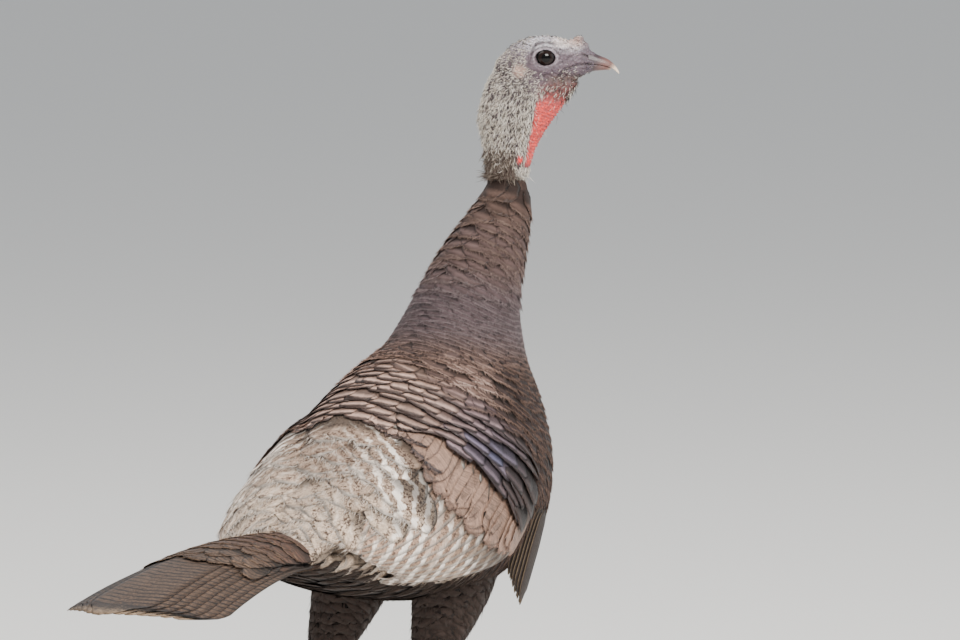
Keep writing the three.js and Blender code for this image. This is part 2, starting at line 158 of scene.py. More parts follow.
# back y, back z, front y, front z, half width, sideways
bodyRows = [
    (-119.8, 526, -151.4, 526, 15.4, -15),
    (-109, 509, -156.5, 505, 20.5, -13.5),
    (-73, 474, -149, 464, 30.5, -8),
    (-42, 438, -142, 424, 37.5, -4),
    (-11, 404, -151, 381, 49, -1),
    (26, 385, -164, 340, 67, 0),
    (60, 365, -163, 290, 84, 0),
    (94, 342, -134, 241, 95, 0),
    (124, 317, -66, 209, 95, 0),
    (145, 297, 8, 205, 86, 0),
    (163, 281, 80, 215, 67, 0),
    (176, 270, 130, 233, 47, 0),
    (184, 263, 158, 246, 30, 0),
    (214, 272, 190, 246, 36, 0),
    (246, 273, 222, 247, 40, 0),
]
wingRows = [
    (58, 367, -162, 291, 89, 0),
    (95, 346, -134, 239, 102, 0),
    (127, 321, -66, 206, 106, 0),
    (148, 301, 4, 202, 100, 0),
    (164, 286, 64, 208, 87, 0),
    (175, 275, 101, 221, 70, 0),
]
wingTop = np.array([60, 30, 18, 13, 10, 12], float)
wingBottom = np.array([80, 101, 106, 106, 107, 100], float)
readBody = sectionReader(bodyRows)
readWing = sectionReader(wingRows)


def sectionPoint(row, degrees):
    angle = np.radians(degrees)
    middleY, middleZ = (row[..., 0] + row[..., 2]) / 2, (row[..., 1] + row[..., 3]) / 2
    reachY, reachZ = (row[..., 0] - row[..., 2]) / 2, (row[..., 1] - row[..., 3]) / 2
    return np.stack([
        row[..., 5] + row[..., 4] * np.sin(angle),
        middleY + reachY * np.cos(angle),
        middleZ + reachZ * np.cos(angle),
    ], -1)


def bodyPoint(along, degrees):
    return sectionPoint(readBody(along), degrees)


def bodyMiddle(along, degrees):
    row = readBody(along)
    return np.stack([row[..., 5], (row[..., 0] + row[..., 2]) / 2, (row[..., 1] + row[..., 3]) / 2], -1)


def wingShare(along, degrees):
    place = np.clip(along - 6, 0, 5)
    top = np.interp(place, range(6), wingTop)
    bottom = np.interp(place, range(6), wingBottom)
    turn = np.abs(degrees)
    cover = ramp(turn, top - 14, top + 4) * (1 - ramp(turn, bottom + 3, bottom + 14))
    return cover * ramp(along, 5.7, 6.6)


def coatPoint(along, degrees):
    # the trunk with the folded wings blended over it
    body = sectionPoint(readBody(along), degrees)
    wing = sectionPoint(readWing(along - 6), degrees)
    return mixed(body, wing, wingShare(along, degrees))


tailRows = np.array([
    (160, 256, 33, 15, 4),
    (200, 257, 40, 14, 6),
    (240, 260, 45, 9, 7),
    (290, 257, 48, 5.5, 7),
    (350, 247, 52, 3.6, 7),
    (412, 232, 56, 2.2, 7),
], float)
readTail = sectionReader(tailRows)


def tailPoint(along, across, side):
    row = readTail(along)
    c = np.clip(across, -1.3, 1.3)
    bulge = np.sqrt(np.clip(1 - c ** 2, 0.02, 1))
    y = row[..., 0] - 26 * c ** 2 * np.clip(along, 0, 5) / 5
    z = row[..., 1] + row[..., 4] * (0.5 - c ** 2) + side * row[..., 3] * bulge
    return np.stack([row[..., 2] * c, y, z], -1)


ankleX, ankleY = 43.0, 36.0
footForward = {"left": 17.0, "right": 3.0}
thighRows = np.array([
    (-2, -24, 236, 44, 30),
    (-1, -10, 206, 36, 27),
    (0, 8, 178, 25, 20),
    (0, 24, 157, 15, 13),
    (0, 33, 143, 9.5, 9),
    (0, 36, 136, 7.6, 7.4),
], float)
readThigh = sectionReader(thighRows)


def thighPoint(side):
    sign = 1 if side == "left" else -1

    def point(along, degrees):
        row = readThigh(along)
        angle = np.radians(degrees)
        x = ankleX + row[..., 0] + row[..., 4] * np.cos(angle)
        return np.stack([sign * x, footForward[side] + row[..., 1] + row[..., 3] * np.sin(angle), row[..., 2]], -1)

    def middle(along, degrees):
        row = readThigh(along)
        return np.stack([sign * (ankleX + row[..., 0]), footForward[side] + row[..., 1], row[..., 2]], -1)

    return point, middle


def metric(point, middle, a, b, stepA, stepB):
    # directions along and across the surface, and its outward normal
    alongA = (point(a + stepA, b) - point(a - stepA, b)) / (2 * stepA)
    alongB = (point(a, b + stepB) - point(a, b - stepB)) / (2 * stepB)
    normal = np.cross(alongA, alongB)
    normal /= np.maximum(np.linalg.norm(normal, axis=-1, keepdims=True), 1e-9)
    outward = point(a, b) - middle(a, b)
    normal *= np.where((normal * outward).sum(-1, keepdims=True) < 0, -1.0, 1.0)
    return alongA, alongB, normal


def solveStep(alongA, alongB, move):
    # how far to go in a and b to make the given move
    aa = (alongA * alongA).sum(-1)
    ab = (alongA * alongB).sum(-1)
    bb = (alongB * alongB).sum(-1)
    ma = (alongA * move).sum(-1)
    mb = (alongB * move).sum(-1)
    det = np.maximum(aa * bb - ab * ab, 1e-9)
    return (bb * ma - ab * mb) / det, (aa * mb - ab * ma) / det


# feathers
def vaneFaces(rows, cols):
    # a closed blade: the upper sheet, and an under sheet that shares its rim
    top = np.arange((rows + 1) * (cols + 1)).reshape(rows + 1, cols + 1)
    under = top.copy()
    inner = np.arange((rows - 1) * (cols - 1)).reshape(rows - 1, cols - 1)
    under[1:-1, 1:-1] = inner + top.size
    faces = []
    for j in range(rows):
        for i in range(cols):
            faces.append((top[j, i], top[j, i + 1], top[j + 1, i + 1], top[j + 1, i]))
            faces.append((under[j + 1, i], under[j + 1, i + 1], under[j, i + 1], under[j, i]))
    return np.array(faces), top.size, inner.size


def meshFrom(name, points, *faceSets):
    corners = np.concatenate([faces.ravel() for faces in faceSets])
    sizes = np.concatenate([np.full(len(faces), faces.shape[1]) for faces in faceSets])
    mesh = bpy.data.meshes.new(name)
    mesh.vertices.add(len(points))
    mesh.vertices.foreach_set("co", np.asarray(points, np.float32).ravel())
    mesh.loops.add(len(corners))
    mesh.loops.foreach_set("vertex_index", corners.astype(np.int32))
    mesh.polygons.add(len(sizes))
    mesh.polygons.foreach_set("loop_start", (np.cumsum(sizes) - sizes).astype(np.int32))
    mesh.polygons.foreach_set("use_smooth", np.ones(len(sizes), bool))
    mesh.update(calc_edges=True)
    thing = bpy.data.objects.new(name, mesh)
    bpy.context.scene.collection.objects.link(thing)
    return thing


def writeUv(mesh, name, perVertex):
    layer = mesh.uv_layers.new(name=name)
    loops = np.empty(len(mesh.loops), np.int32)
    mesh.loops.foreach_get("vertex_index", loops)
    layer.uv.foreach_set("vector", perVertex[loops].astype(np.float32).ravel())


def writeColour(mesh, name, perVertex):
    rgba = np.ones((len(perVertex), 4), np.float32)
    rgba[:, :3] = perVertex
    mesh.attributes.new(name, "FLOAT_COLOR", "POINT").data.foreach_set("color", rgba.ravel())


def writeVector(mesh, name, perVertex):
    mesh.attributes.new(name, "FLOAT_VECTOR", "POINT").data.foreach_set("vector", perVertex.astype(np.float32).ravel())


def fringe(top, shape):
    # fine barbs that stand out past a feather's tip, each a closed three-sided spike
    count, cols, number = len(top), shape["cols"], shape["hairs"]
    at = np.linspace(-0.92, 0.92, number) + chance.normal(size=(count, number)) * 0.06
    place = np.clip((at + 1) / 2 * cols, 0, cols - 0.001)
    cell, part = place.astype(int), (place % 1)[..., None]
    row = np.arange(count)[:, None]
    edge = top[row, -1, cell] * (1 - part) + top[row, -1, cell + 1] * part
    back = top[row, -2, cell] * (1 - part) + top[row, -2, cell + 1] * part
    ahead = edge - back
    ahead /= np.maximum(np.linalg.norm(ahead, axis=-1, keepdims=True), 1e-6)
    side = top[:, -1, -1] - top[:, -1, 0]
    side = (side / np.maximum(np.linalg.norm(side, axis=-1, keepdims=True), 1e-6))[:, None]
    lift = np.cross(side, ahead)
    mess = chance.normal(size=(count, number, 3))
    ahead = ahead + side * (at[..., None] * 0.35 + mess[..., :1] * 0.42) + lift * mess[..., 1:2] * 0.12
    long = shape["hairLength"] * (0.5 + 0.55 * np.abs(mess[..., 2:]))
    points = [edge + ahead * long]
    for turn in (0, 120, 240):
        ring = side * math.cos(math.radians(turn)) + lift * math.sin(math.radians(turn))
        points.append(edge - ahead * 0.9 - lift * 0.12 + ring * shape["hairWidth"] / 2)
    points = np.stack(points, 2).reshape(count, -1, 3)
    faces = np.array([(0, 1, 2), (0, 2, 3), (0, 3, 1), (1, 3, 2)])
    first, second, third, last = points[0, :4]
    if np.cross(third - second, first - second) @ (last - second) > 0:
        faces = faces[:, ::-1]
    faces = (faces[None] + (np.arange(number) * 4)[:, None, None]).reshape(-1, 3)
    along = np.tile([1.06, 0.97, 0.97, 0.97], (count, number, 1)).reshape(count, -1)
    vane = np.stack([np.repeat(at, 4, 1), along], -1)
    return points, faces, vane


def growFeathers(name, surface, roots, shape):
    # roots holds one value or row for each feather; shape holds what all of them share
    point, middle, stepA, stepB = surface
    rows, cols = shape["rows"], shape["cols"]
    count = len(roots["a"])
    a, b = np.array(roots["a"], float), np.array(roots["b"], float)
    length, width = roots["length"], roots["width"]
    heading = np.radians(roots["heading"])
    bend = np.radians(roots["bend"])
    share = np.linspace(0, 1, rows + 1)
    lane = np.linspace(-1, 1, cols + 1)
    top = np.empty((count, rows + 1, cols + 1, 3))
    under = np.empty_like(top)
    vane = np.empty((count, rows + 1, cols + 1, 2))
    blade = np.interp(share, shape["profileAt"], shape["profile"])
    for j, v in enumerate(share):
        alongA, alongB, normal = metric(point, middle, a, b, stepA, stepB)
        ahead = alongA / np.linalg.norm(alongA, axis=-1, keepdims=True)
        down = alongB - (alongB * ahead).sum(-1, keepdims=True) * ahead
        down /= np.maximum(np.linalg.norm(down, axis=-1, keepdims=True), 1e-9)
        down *= roots["side"][:, None]
        turn = (heading + bend * v)[:, None]
        forward = np.cos(turn) * ahead + np.sin(turn) * down
        across = np.cross(forward, normal)
        lower = np.sign((across * (np.cos(turn) * down - np.sin(turn) * ahead)).sum(-1))
        for i, c in enumerate(lane):
            pull = shape["round"] * c * c * v ** 3 * length
            fray = shape["fray"] * chance.normal(size=count) * v ** 4 * (0.4 + abs(c))
            reach = c * blade[j] * width / 2 * (1 + 0.12 * lower * c * shape["lean"])
            move = across * reach[:, None] - forward * (pull + fray * length)[:, None]
            da, db = solveStep(alongA, alongB, move)
            height = roots["low"] + (roots["high"] - roots["low"]) * v ** shape["rise"]
            height = height + roots["roll"] * c * lower - shape["cup"] * c * c * width * v
            height = height + shape["ridge"] * max(0, 1 - abs(c) * 2.5) * (1 - v)
            spot = point(a + da, b + db)
            top[:, j, i] = spot + normal * height[:, None]
            under[:, j, i] = spot + normal * (height - shape["thick"] * (1 - c * c))[:, None]
            vane[:, j, i, 0] = c * lower
            vane[:, j, i, 1] = v - (pull + fray * length) / length
        da, db = solveStep(alongA, alongB, forward * (length / rows)[:, None])
        a, b = a + da, b + db
    faces, topCount, innerCount = vaneFaces(rows, cols)
    points = [top.reshape(count, -1, 3), under[:, 1:-1, 1:-1].reshape(count, -1, 3)]
    vanes = [vane.reshape(count, -1, 2), vane[:, 1:-1, 1:-1].reshape(count, -1, 2)]
    per = topCount + innerCount
    faceSets = [faces]
    if shape["hairs"]:
        hairPoints, hairFaces, hairVane = fringe(top, shape)
        points.append(hairPoints)
        vanes.append(hairVane)
        faceSets.append(hairFaces + per)
        per += hairPoints.shape[1]
    points, vanes = np.concatenate(points, 1), np.concatenate(vanes, 1)
    starts = (np.arange(count) * per)[:, None, None]
    faceSets = [(faces[None] + starts).reshape(-1, faces.shape[1]) for faces in faceSets]
    coat = meshFrom(name, toFrame(points.reshape(-1, 3)), *faceSets)
    mesh = coat.data
    patch = roots["bake"][:, None, :] + (vanes * [0.5, 1] + [0, -0.5]) * shape["patch"]
    writeUv(mesh, "OFBake", patch.reshape(-1, 2))
    writeUv(mesh, "vane", vanes.reshape(-1, 2))
    for key in ("face", "edge", "band"):
        writeColour(mesh, key, np.repeat(roots[key], per, 0))
    writeVector(mesh, "marks", np.repeat(roots["marks"], per, 0))
    extra = np.stack([roots["speckle"], roots["tone"], length / 100], -1)
    writeVector(mesh, "grainMarks", np.repeat(extra, per, 0))
    if shape["bars"]:
        writeVector(mesh, "bars", shape["bars"](points, vanes, length).reshape(-1, 3))
    return coat


def gather(batches):
    return {key: np.concatenate([np.asarray(part[key], float) for part in batches]) for key in batches[0]}


def tint(red, green, blue):
    c = np.array([red, green, blue]) / 255
    return np.where(c > 0.04045, ((c + 0.055) / 1.055) ** 2.4, c / 12.92)


contour = dict(rows=4, cols=4, round=0.12, fray=0.03, lean=0, rise=1.0, cup=0.015, ridge=0.1, thick=0.4,
               profileAt=(0, 0.15, 0.45, 0.8, 1), profile=(0.25, 0.6, 0.95, 1, 0.85), patch=0.003,
               hairs=7, hairLength=2.0, hairWidth=0.34, bars=None)


def streakBars(points, vanes, length):
    # steep pale streaks that run on from quill to quill over the side of the wing
    side = 0.848 * np.abs(points[..., 0]) - 0.53 * points[..., 1]
    rise = 0.996 * points[..., 2] - 0.0462 * np.abs(points[..., 0]) - 0.0739 * points[..., 1]
    bowed = side + 0.009 * (rise - 277) ** 2
    phase = bowed / 11.7 + 0.0003 * np.maximum(bowed, 0) ** 2
    amount = 0.3 + 0.7 * ramp(side, -42, -6)
    share = np.interp(side, (-80, -30, 0, 30, 80), (0.16, 0.22, 0.42, 0.42, 0.32))
    return np.stack([phase, amount, np.cos(math.pi * share)], -1)


def crossBars(pitch, share, slant):
    # bars across one feather, bent back towards its rims
    def bars(points, vanes, length):
        run = vanes[..., 1] * length[:, None]
        phase = (run + slant * np.abs(vanes[..., 0])) / pitch
        return np.stack([phase, np.ones_like(phase), np.full_like(phase, math.cos(math.pi * share))], -1)

    return bars


# where each kind of plumage begins and ends: turn is the angle from the back in degrees,
# and along counts the sections of bodyRows
def tiltOf(turn):
    return 0.0165 * np.clip(turn - 5, 0, 97)


def rowTip(turn):
    # where the tan coverts end and the barred quills begin to show
    return np.interp(turn, (0, 8, 14, 30, 37, 42, 50, 60, 75, 90, 104),
                     (6.6, 6.6, 6.75, 6.95, 7.05, 7.35, 7.75, 8.05, 8.2, 8.15, 7.9))


def rowRoot(turn):
    return 6.05 + tiltOf(turn)


palette = {
    "neckHigh": tint(84, 66, 59),
    "neckLow": tint(86, 72, 75),
    "neckMid": tint(92, 74, 71),
    "neckEdge": tint(164, 138, 126),
    "neckCool": tint(172, 155, 157),
    "mantle": tint(78, 62, 57),
    "mantleTip": tint(186, 152, 136),
    "shoulderTip": tint(232, 200, 186),
    "shoulder": tint(196, 156, 140),
    "covertWarm": tint(190, 156, 140),
    "covertCool": tint(146, 122, 124),
    "covertDark": tint(78, 64, 63),
    "covertPaintedSheen": tint(78, 84, 116),
    "black": tint(42, 34, 36),
    "tan": tint(150, 120, 103),
    "breast": tint(52, 41, 38),
    "breastTip": tint(140, 112, 98),
    "belly": tint(58, 48, 43),
    "bellyTip": tint(84, 68, 58),
    "pale": tint(210, 186, 164),
    "dusk": tint(158, 134, 116),
    "white": tint(250, 238, 226),
    "speckle": tint(84, 62, 50),
    "rust": tint(116, 74, 54),
    "tail": tint(94, 74, 60),
    "tailBar": tint(36, 28, 25),
    "tailTip": tint(190, 160, 130),
    "trainFace": tint(104, 82, 66),
    "trainRust": tint(98, 66, 50),
    "trainTip": tint(176, 142, 116),
    "quillHigh": tint(176, 144, 122),
    "quillLow": tint(162, 132, 108),
    "hand": tint(44, 34, 29),
    "handEdge": tint(178, 150, 112),
    "thigh": tint(56, 46, 42),
    "down": tint(38, 32, 30),
}


def plumage(along, turn):
    # colours of a feather rooted there: its face, its dark band and its edge, and how strong band and edge are
    phase = along - tiltOf(turn)
    spread = lambda key: np.broadcast_to(palette[key], along.shape + (3,))
    face = mixed(spread("neckHigh"), spread("neckMid"), ramp(along, 0.5, 1.5))
    face = mixed(face, spread("neckLow"), ramp(along, 1.8, 2.7))
    edge = mixed(spread("neckEdge"), spread("neckCool"), ramp(along, 1.5, 2.7))
    band = spread("black").copy()

    mantleShare = ramp(along, 3.0, 4.0)
    shoulder = np.exp(-((along - 4.5) / 0.45) ** 2 - ((turn - 54) / 16) ** 2)
    face = mixed(face, palette["mantle"], mantleShare)
    edge = mixed(edge, palette["mantleTip"], ramp(along, 3.2, 4.0))
    edge = mixed(edge, palette["shoulderTip"], shoulder)
    bandShare = 0.4 * ramp(phase, 3.3, 4.0)
    edgeShare = np.full(along.shape, 0.55) + 0.1 * mantleShare + 0.3 * shoulder

    covertShare = ramp(phase, 4.0, 4.24)
    # painted sheen: a blue patch on the coverts where their iridescent sheen catches the light
    blue = np.exp(-((along - 6.15) / 0.4) ** 2 - ((turn - 67) / 10) ** 2)
    warmth = mixed(spread("covertWarm"), spread("covertCool"), ramp(turn, 28, 60))
    warmth = mixed(warmth, palette["covertDark"], ramp(turn, 64, 84))
    warmth = mixed(warmth, palette["covertPaintedSheen"], 0.85 * blue)
    face = mixed(face, warmth, covertShare)
    face = mixed(face, palette["shoulder"], 0.35 * shoulder)
    bandShare = mixedShare(bandShare, 0.84, covertShare) * (1 - 0.4 * shoulder)
    edgeShare = mixedShare(edgeShare, 0.1 + 0.5 * shoulder, covertShare)

    breast = ramp(along, 3.4, 4.2) * mixedShare(ramp(turn, 68, 86), ramp(turn, 84, 98), covertShare)
    under = ramp(turn, 100, 125) * ramp(along, 7.2, 8.6)
    pale = ramp(along, rowTip(turn) - 0.12, rowTip(turn) + 0.12) * (1 - ramp(turn, 108, 116))
    for share, faceKey, edgeKey, bandTo, edgeTo in (
        (breast, "breast", "breastTip", 0.5, 0.6),
        (under, "belly", "bellyTip", 0.0, 0.4),
        (pale, "pale", "white", 0.0, 0.5),
    ):
        face = mixed(face, palette[faceKey], share)
        edge = mixed(edge, palette[edgeKey], share)
        bandShare = mixedShare(bandShare, bandTo, share)
        edgeShare = mixedShare(edgeShare, edgeTo, share)
    # the third mark is where the painted shade over the feather's covered part begins
    marks = np.stack([bandShare, edgeShare, 0 * bandShare], -1)
    return face, band, edge, marks, 0.25 + 0.75 * pale


def rootsAt(a, b, length, width, heading, low, high, roll):
    a, b = np.asarray(a, float), np.asarray(b, float)
    count = len(a)
    face, band, edge, marks, speckle = plumage(a, np.abs(b))
    full = lambda value: np.broadcast_to(np.asarray(value, float), (count,)).copy()
    return dict(a=a, b=b, length=full(length), width=full(width), heading=full(heading), bend=np.zeros(count),
                low=full(low), high=full(high), roll=full(roll), side=np.where(b >= 0, 1.0, -1.0),
                face=face, band=band, edge=edge, marks=marks, speckle=speckle, tone=chance.random(count),
                bake=np.stack([b / 360 + 0.5, 0.055 + a / 13.2], -1))


def laidRows(surface, start, end, turnFrom, turnTo, step, gap, tilt, guide, tuft, fan=0.0):
    # staggered rows of feathers between two sections, on both sides of the back
    point = surface[0]
    fine = np.linspace(start, end, 400)
    path = point(fine + (tiltOf(np.full(400, guide)) if tilt else 0), np.full(400, float(guide)))
    run = np.concatenate([[0], np.cumsum(np.linalg.norm(np.diff(path, axis=0), axis=1))])
    lines = np.interp(run[-1] - np.arange(0, run[-1], step), run, fine)[::-1]
    laid = []
    for number, line in enumerate(lines):
        turns = np.linspace(turnFrom, turnTo, 200)
        slope = tilt * (1 + fan * (line - start) / (end - start))
        alongs = line + slope * tiltOf(turns)
        arc = point(alongs, turns)
        reach = np.concatenate([[0], np.cumsum(np.linalg.norm(np.diff(arc, axis=0), axis=1))])
        spots = np.arange(gap * (0.25 + 0.5 * (number % 2)), reach[-1], gap)
        b = np.interp(spots, reach, turns)
        b = np.concatenate([b, -b])
        a = line + slope * tiltOf(np.abs(b))
        count = len(b)
        a = a + chance.normal(size=count) * 0.012
        b = b + chance.normal(size=count) * 0.5
        length = tuft["length"] * step * (1 + tuft["uneven"] * chance.normal(size=count))
        width = tuft["width"] * gap * (1 + 0.06 * chance.normal(size=count))
        heading = chance.normal(size=count) * tuft["mess"]
        part = rootsAt(a, b, length, width, heading, tuft["low"], tuft["high"], 0.0)
        # the third mark is where the feather comes out from under the row before; the vane shader paints shade over the
        # covered part and just past it
        part["marks"][:, 2] = 1 - 1 / tuft["length"]
        laid.append(part)
    return gather(laid)


def keepWhere(roots, mask):
    return {key: value[mask] for key, value in roots.items()}


coatSurface = (coatPoint, bodyMiddle, 0.02, 0.4)
bodySurface = (bodyPoint, bodyMiddle, 0.02, 0.4)


def finishCoat(coat, material):
    coat.data.materials.append(material)
    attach(coat, "root")
    print(coat.name, triangles(coat), "triangles")


def triangles(thing):
    return sum(len(p.vertices) - 2 for p in thing.data.polygons)


def dress(roots, **values):
    # the same value for every feather, or one row for each
    for key, value in values.items():
        roots[key] = np.zeros_like(roots[key]) + value


# materials
def newGroup(name, inputs, outputs):
    tree = bpy.data.node_groups.new(name, "ShaderNodeTree")
    for label, kind, value in inputs:
        socket = tree.interface.new_socket(name=label, in_out="INPUT", socket_type=kind)
        if value is not None:
            socket.default_value = value
    for label, kind in outputs:
        tree.interface.new_socket(name=label, in_out="OUTPUT", socket_type=kind)
    return tree, tree.nodes.new("NodeGroupInput"), tree.nodes.new("NodeGroupOutput")


def wire(tree, value, socket):
    if isinstance(value, bpy.types.NodeSocket):
        tree.links.new(value, socket)
    else:
        socket.default_value = value


def maths(tree, operation, first, second=0.0):
    node = tree.nodes.new("ShaderNodeMath")
    node.operation = operation
    for socket, value in zip(node.inputs, (first, second)):
        wire(tree, value, socket)
    return node.outputs[0]


def sums(tree):
    # short names for what the materials below use most: plus, less and times
    return [lambda first, second, how=how: maths(tree, how, first, second) for how in ("ADD", "SUBTRACT", "MULTIPLY")]


def grey(tree, value):
    node = tree.nodes.new("ShaderNodeCombineColor")
    for socket in node.inputs[:3]:
        wire(tree, value, socket)
    return node.outputs[0]


def newMaterial(name, fixed):
    # fixed holds the constants of the shader, by the labels of its sockets
    material = bpy.data.materials.new(name)
    material.use_nodes = True
    shader = material.node_tree.nodes["Principled BSDF"]
    for label, value in fixed.items():
        shader.inputs[label].default_value = value
    return material, material.node_tree, shader


def addBump(tree, shader, height, strength, distance):
    bump = tree.nodes.new("ShaderNodeBump")
    bump.inputs["Strength"].default_value = strength
    bump.inputs["Distance"].default_value = distance
    wire(tree, height, bump.inputs["Height"])
    wire(tree, bump.outputs[0], shader.inputs["Normal"])


def fade(tree, value, low, high, bottom=0.0, top=1.0):
    node = tree.nodes.new("ShaderNodeMapRange")
    node.interpolation_type = "SMOOTHSTEP"
    wire(tree, value, node.inputs["Value"])
    for label, number in (("From Min", low), ("From Max", high), ("To Min", bottom), ("To Max", top)):
        wire(tree, number, node.inputs[label])
    return node.outputs["Result"]


def blendColour(tree, first, second, share, how="MIX"):
    node = tree.nodes.new("ShaderNodeMix")
    node.data_type = "RGBA"
    node.blend_type = how
    wire(tree, share, node.inputs[0])
    wire(tree, first, node.inputs[6])
    wire(tree, second, node.inputs[7])
    return node.outputs[2]


def speckles(tree, vector, scale, detail=2.0, roughness=0.5, distortion=0.0):
    node = tree.nodes.new("ShaderNodeTexNoise")
    wire(tree, vector, node.inputs["Vector"])
    node.inputs["Scale"].default_value = scale
    node.inputs["Detail"].default_value = detail
    node.inputs["Roughness"].default_value = roughness
    node.inputs["Distortion"].default_value = distortion
    return node.outputs["Fac"]


def attribute(tree, name):
    node = tree.nodes.new("ShaderNodeAttribute")
    node.attribute_name = name
    return node


def parts(tree, vector):
    node = tree.nodes.new("ShaderNodeSeparateXYZ")
    wire(tree, vector, node.inputs[0])
    return node.outputs


def objectPlace(tree):
    return tree.nodes.new("ShaderNodeTexCoord").outputs["Object"]


def stretched(tree, vector, scale):
    node = tree.nodes.new("ShaderNodeMapping")
    wire(tree, vector, node.inputs["Vector"])
    node.inputs["Scale"].default_value = scale
    return node.outputs[0]


def rgba(colour):
    return (float(colour[0]), float(colour[1]), float(colour[2]), 1.0)


def makeVaneGroup():
    # barbs, dark band, pale edge, bars and fine speckle of one feather
    colour, vector, number = "NodeSocketColor", "NodeSocketVector", "NodeSocketFloat"
    tree, given, taken = newGroup("featherMarks", [
        ("Vane", vector, None), ("Place", vector, None), ("Face", colour, (0.2, 0.15, 0.12, 1)),
        ("Band", colour, (0.02, 0.015, 0.015, 1)), ("Edge", colour, (0.4, 0.3, 0.2, 1)), ("Marks", vector, None),
        ("Grain", vector, None), ("Bars", vector, None), ("Bar colour", colour, rgba(palette["white"])),
        ("Bar wander", number, 0.8), ("Bar breaks", number, 0.8), ("Speckle colour", colour, rgba(palette["speckle"])),
        ("Band start", number, 0.72), ("Edge start", number, 0.9), ("Rim", number, 0.0), ("Strand", number, 1.1),
    ], [("Color", colour), ("Height", number), ("Dark", number)])
    plus, less, times = sums(tree)
    asked = given.outputs
    across, along, _ = parts(tree, asked["Vane"])
    # the third mark, bared, is where the painted shade on a feather's covered part begins
    bandShare, edgeShare, bared = parts(tree, asked["Marks"])
    speckle, tone, size = parts(tree, asked["Grain"])
    barPhase, barShare, barLimit = parts(tree, asked["Bars"])
    side = maths(tree, "ABSOLUTE", across)
    grain = speckles(tree, asked["Place"], 520, 3, 0.6)
    patchy = speckles(tree, asked["Place"], 100, 3, 0.6)
    islands = speckles(tree, asked["Place"], 46, 2, 0.6)
    fringed = times(less(grain, 0.5), 0.12)
    tip = plus(along, fringed)
    barb = less(times(along, times(size, 100.0)), times(side, 7.0))
    barbWave = maths(tree, "SINE", times(barb, 9.0))
    hair = tree.nodes.new("ShaderNodeCombineXYZ")
    for socket, value in zip(hair.inputs, (barb, times(side, 0.7), times(tone, 60.0))):
        wire(tree, value, socket)
    strand = speckles(tree, hair.outputs[0], 0.9, 3, 0.7)
    toneAndPaintedShade = plus(0.74, times(tone, 0.24))
    toneAndPaintedShade = plus(toneAndPaintedShade, times(less(strand, 0.5), asked["Strand"]))
    toneAndPaintedShade = plus(toneAndPaintedShade, times(less(patchy, 0.5), 0.6))
    # painted shade: darker where a feather comes out from under the row before it, in place of the shadow that row
    # casts
    emerged = plus(bared, times(less(1.0, bared), 0.5))
    toneAndPaintedShade = times(toneAndPaintedShade, fade(tree, tip, bared, emerged, 0.3, 1.0))
    # bars: a wave that wanders, thickens and breaks up
    wander = times(less(patchy, 0.5), asked["Bar wander"])
    barAt = plus(plus(barPhase, wander), times(tone, 0.16))
    barWave = maths(tree, "SINE", times(barAt, 2 * math.pi))
    ragged = plus(barWave, times(less(grain, 0.5), 1.6))
    barMask = fade(tree, ragged, less(barLimit, 0.3), plus(barLimit, 0.3))
    broken = plus(times(fade(tree, islands, 0.40, 0.52), asked["Bar breaks"]), less(1.0, asked["Bar breaks"]))
    barMask = times(times(barMask, barShare), broken)
    dots = speckles(tree, asked["Place"], 500, 2, 0.7, 0.8)
    dotMask = times(fade(tree, dots, 0.47, 0.56, 0.0, 0.95), fade(tree, barWave, 0.8, -0.8, 0.35, 1.0))
    paint = blendColour(tree, asked["Face"], asked["Speckle colour"], times(dotMask, speckle))
    paint = blendColour(tree, paint, asked["Bar colour"], barMask)
    bandMask = fade(tree, tip, less(asked["Band start"], 0.03), plus(asked["Band start"], 0.03))
    bandMask = times(bandMask, bandShare)
    paint = blendColour(tree, paint, asked["Band"], bandMask)
    edgeMask = fade(tree, tip, less(asked["Edge start"], 0.05), plus(asked["Edge start"], 0.05))
    rim = times(fade(tree, plus(across, fringed), 0.80, 0.92), asked["Rim"])
    edgeMask = maths(tree, "MAXIMUM", times(edgeMask, edgeShare), rim)
    paint = blendColour(tree, paint, asked["Edge"], edgeMask)
    wire(tree, blendColour(tree, paint, grey(tree, toneAndPaintedShade), 1.0, "MULTIPLY"), taken.inputs["Color"])
    shaft = fade(tree, side, 0.07, 0.02)
    wire(tree, plus(plus(times(barbWave, 0.25), strand), times(shaft, 0.6)), taken.inputs["Height"])
    wire(tree, bandMask, taken.inputs["Dark"])
    return tree


vaneGroup = makeVaneGroup()


def plumageMaterial(name, look):
    material, tree, shader = newMaterial(name, {
        "Specular IOR Level": look["gloss"], "Sheen Weight": look["sheen"], "Sheen Roughness": 0.4})
    vane = tree.nodes.new("ShaderNodeUVMap")
    vane.uv_map = "vane"
    group = tree.nodes.new("ShaderNodeGroup")
    group.node_tree = vaneGroup
    wire(tree, vane.outputs[0], group.inputs["Vane"])
    wire(tree, objectPlace(tree), group.inputs["Place"])
    for label, key, kind in (
        ("Face", "face", "Color"), ("Band", "band", "Color"), ("Edge", "edge", "Color"),
        ("Marks", "marks", "Vector"), ("Grain", "grainMarks", "Vector"), ("Bars", "bars", "Vector"),
    ):
        wire(tree, attribute(tree, key).outputs[kind], group.inputs[label])
    for label, value in look["marks"].items():
        group.inputs[label].default_value = value
    wire(tree, group.outputs["Color"], shader.inputs["Base Color"])
    rough = fade(tree, group.outputs["Dark"], 0.0, 1.0, look["roughness"], look["roughness"] - 0.12)
    wire(tree, rough, shader.inputs["Roughness"])
    addBump(tree, shader, group.outputs["Height"], look["bump"], 0.0004)
    return material


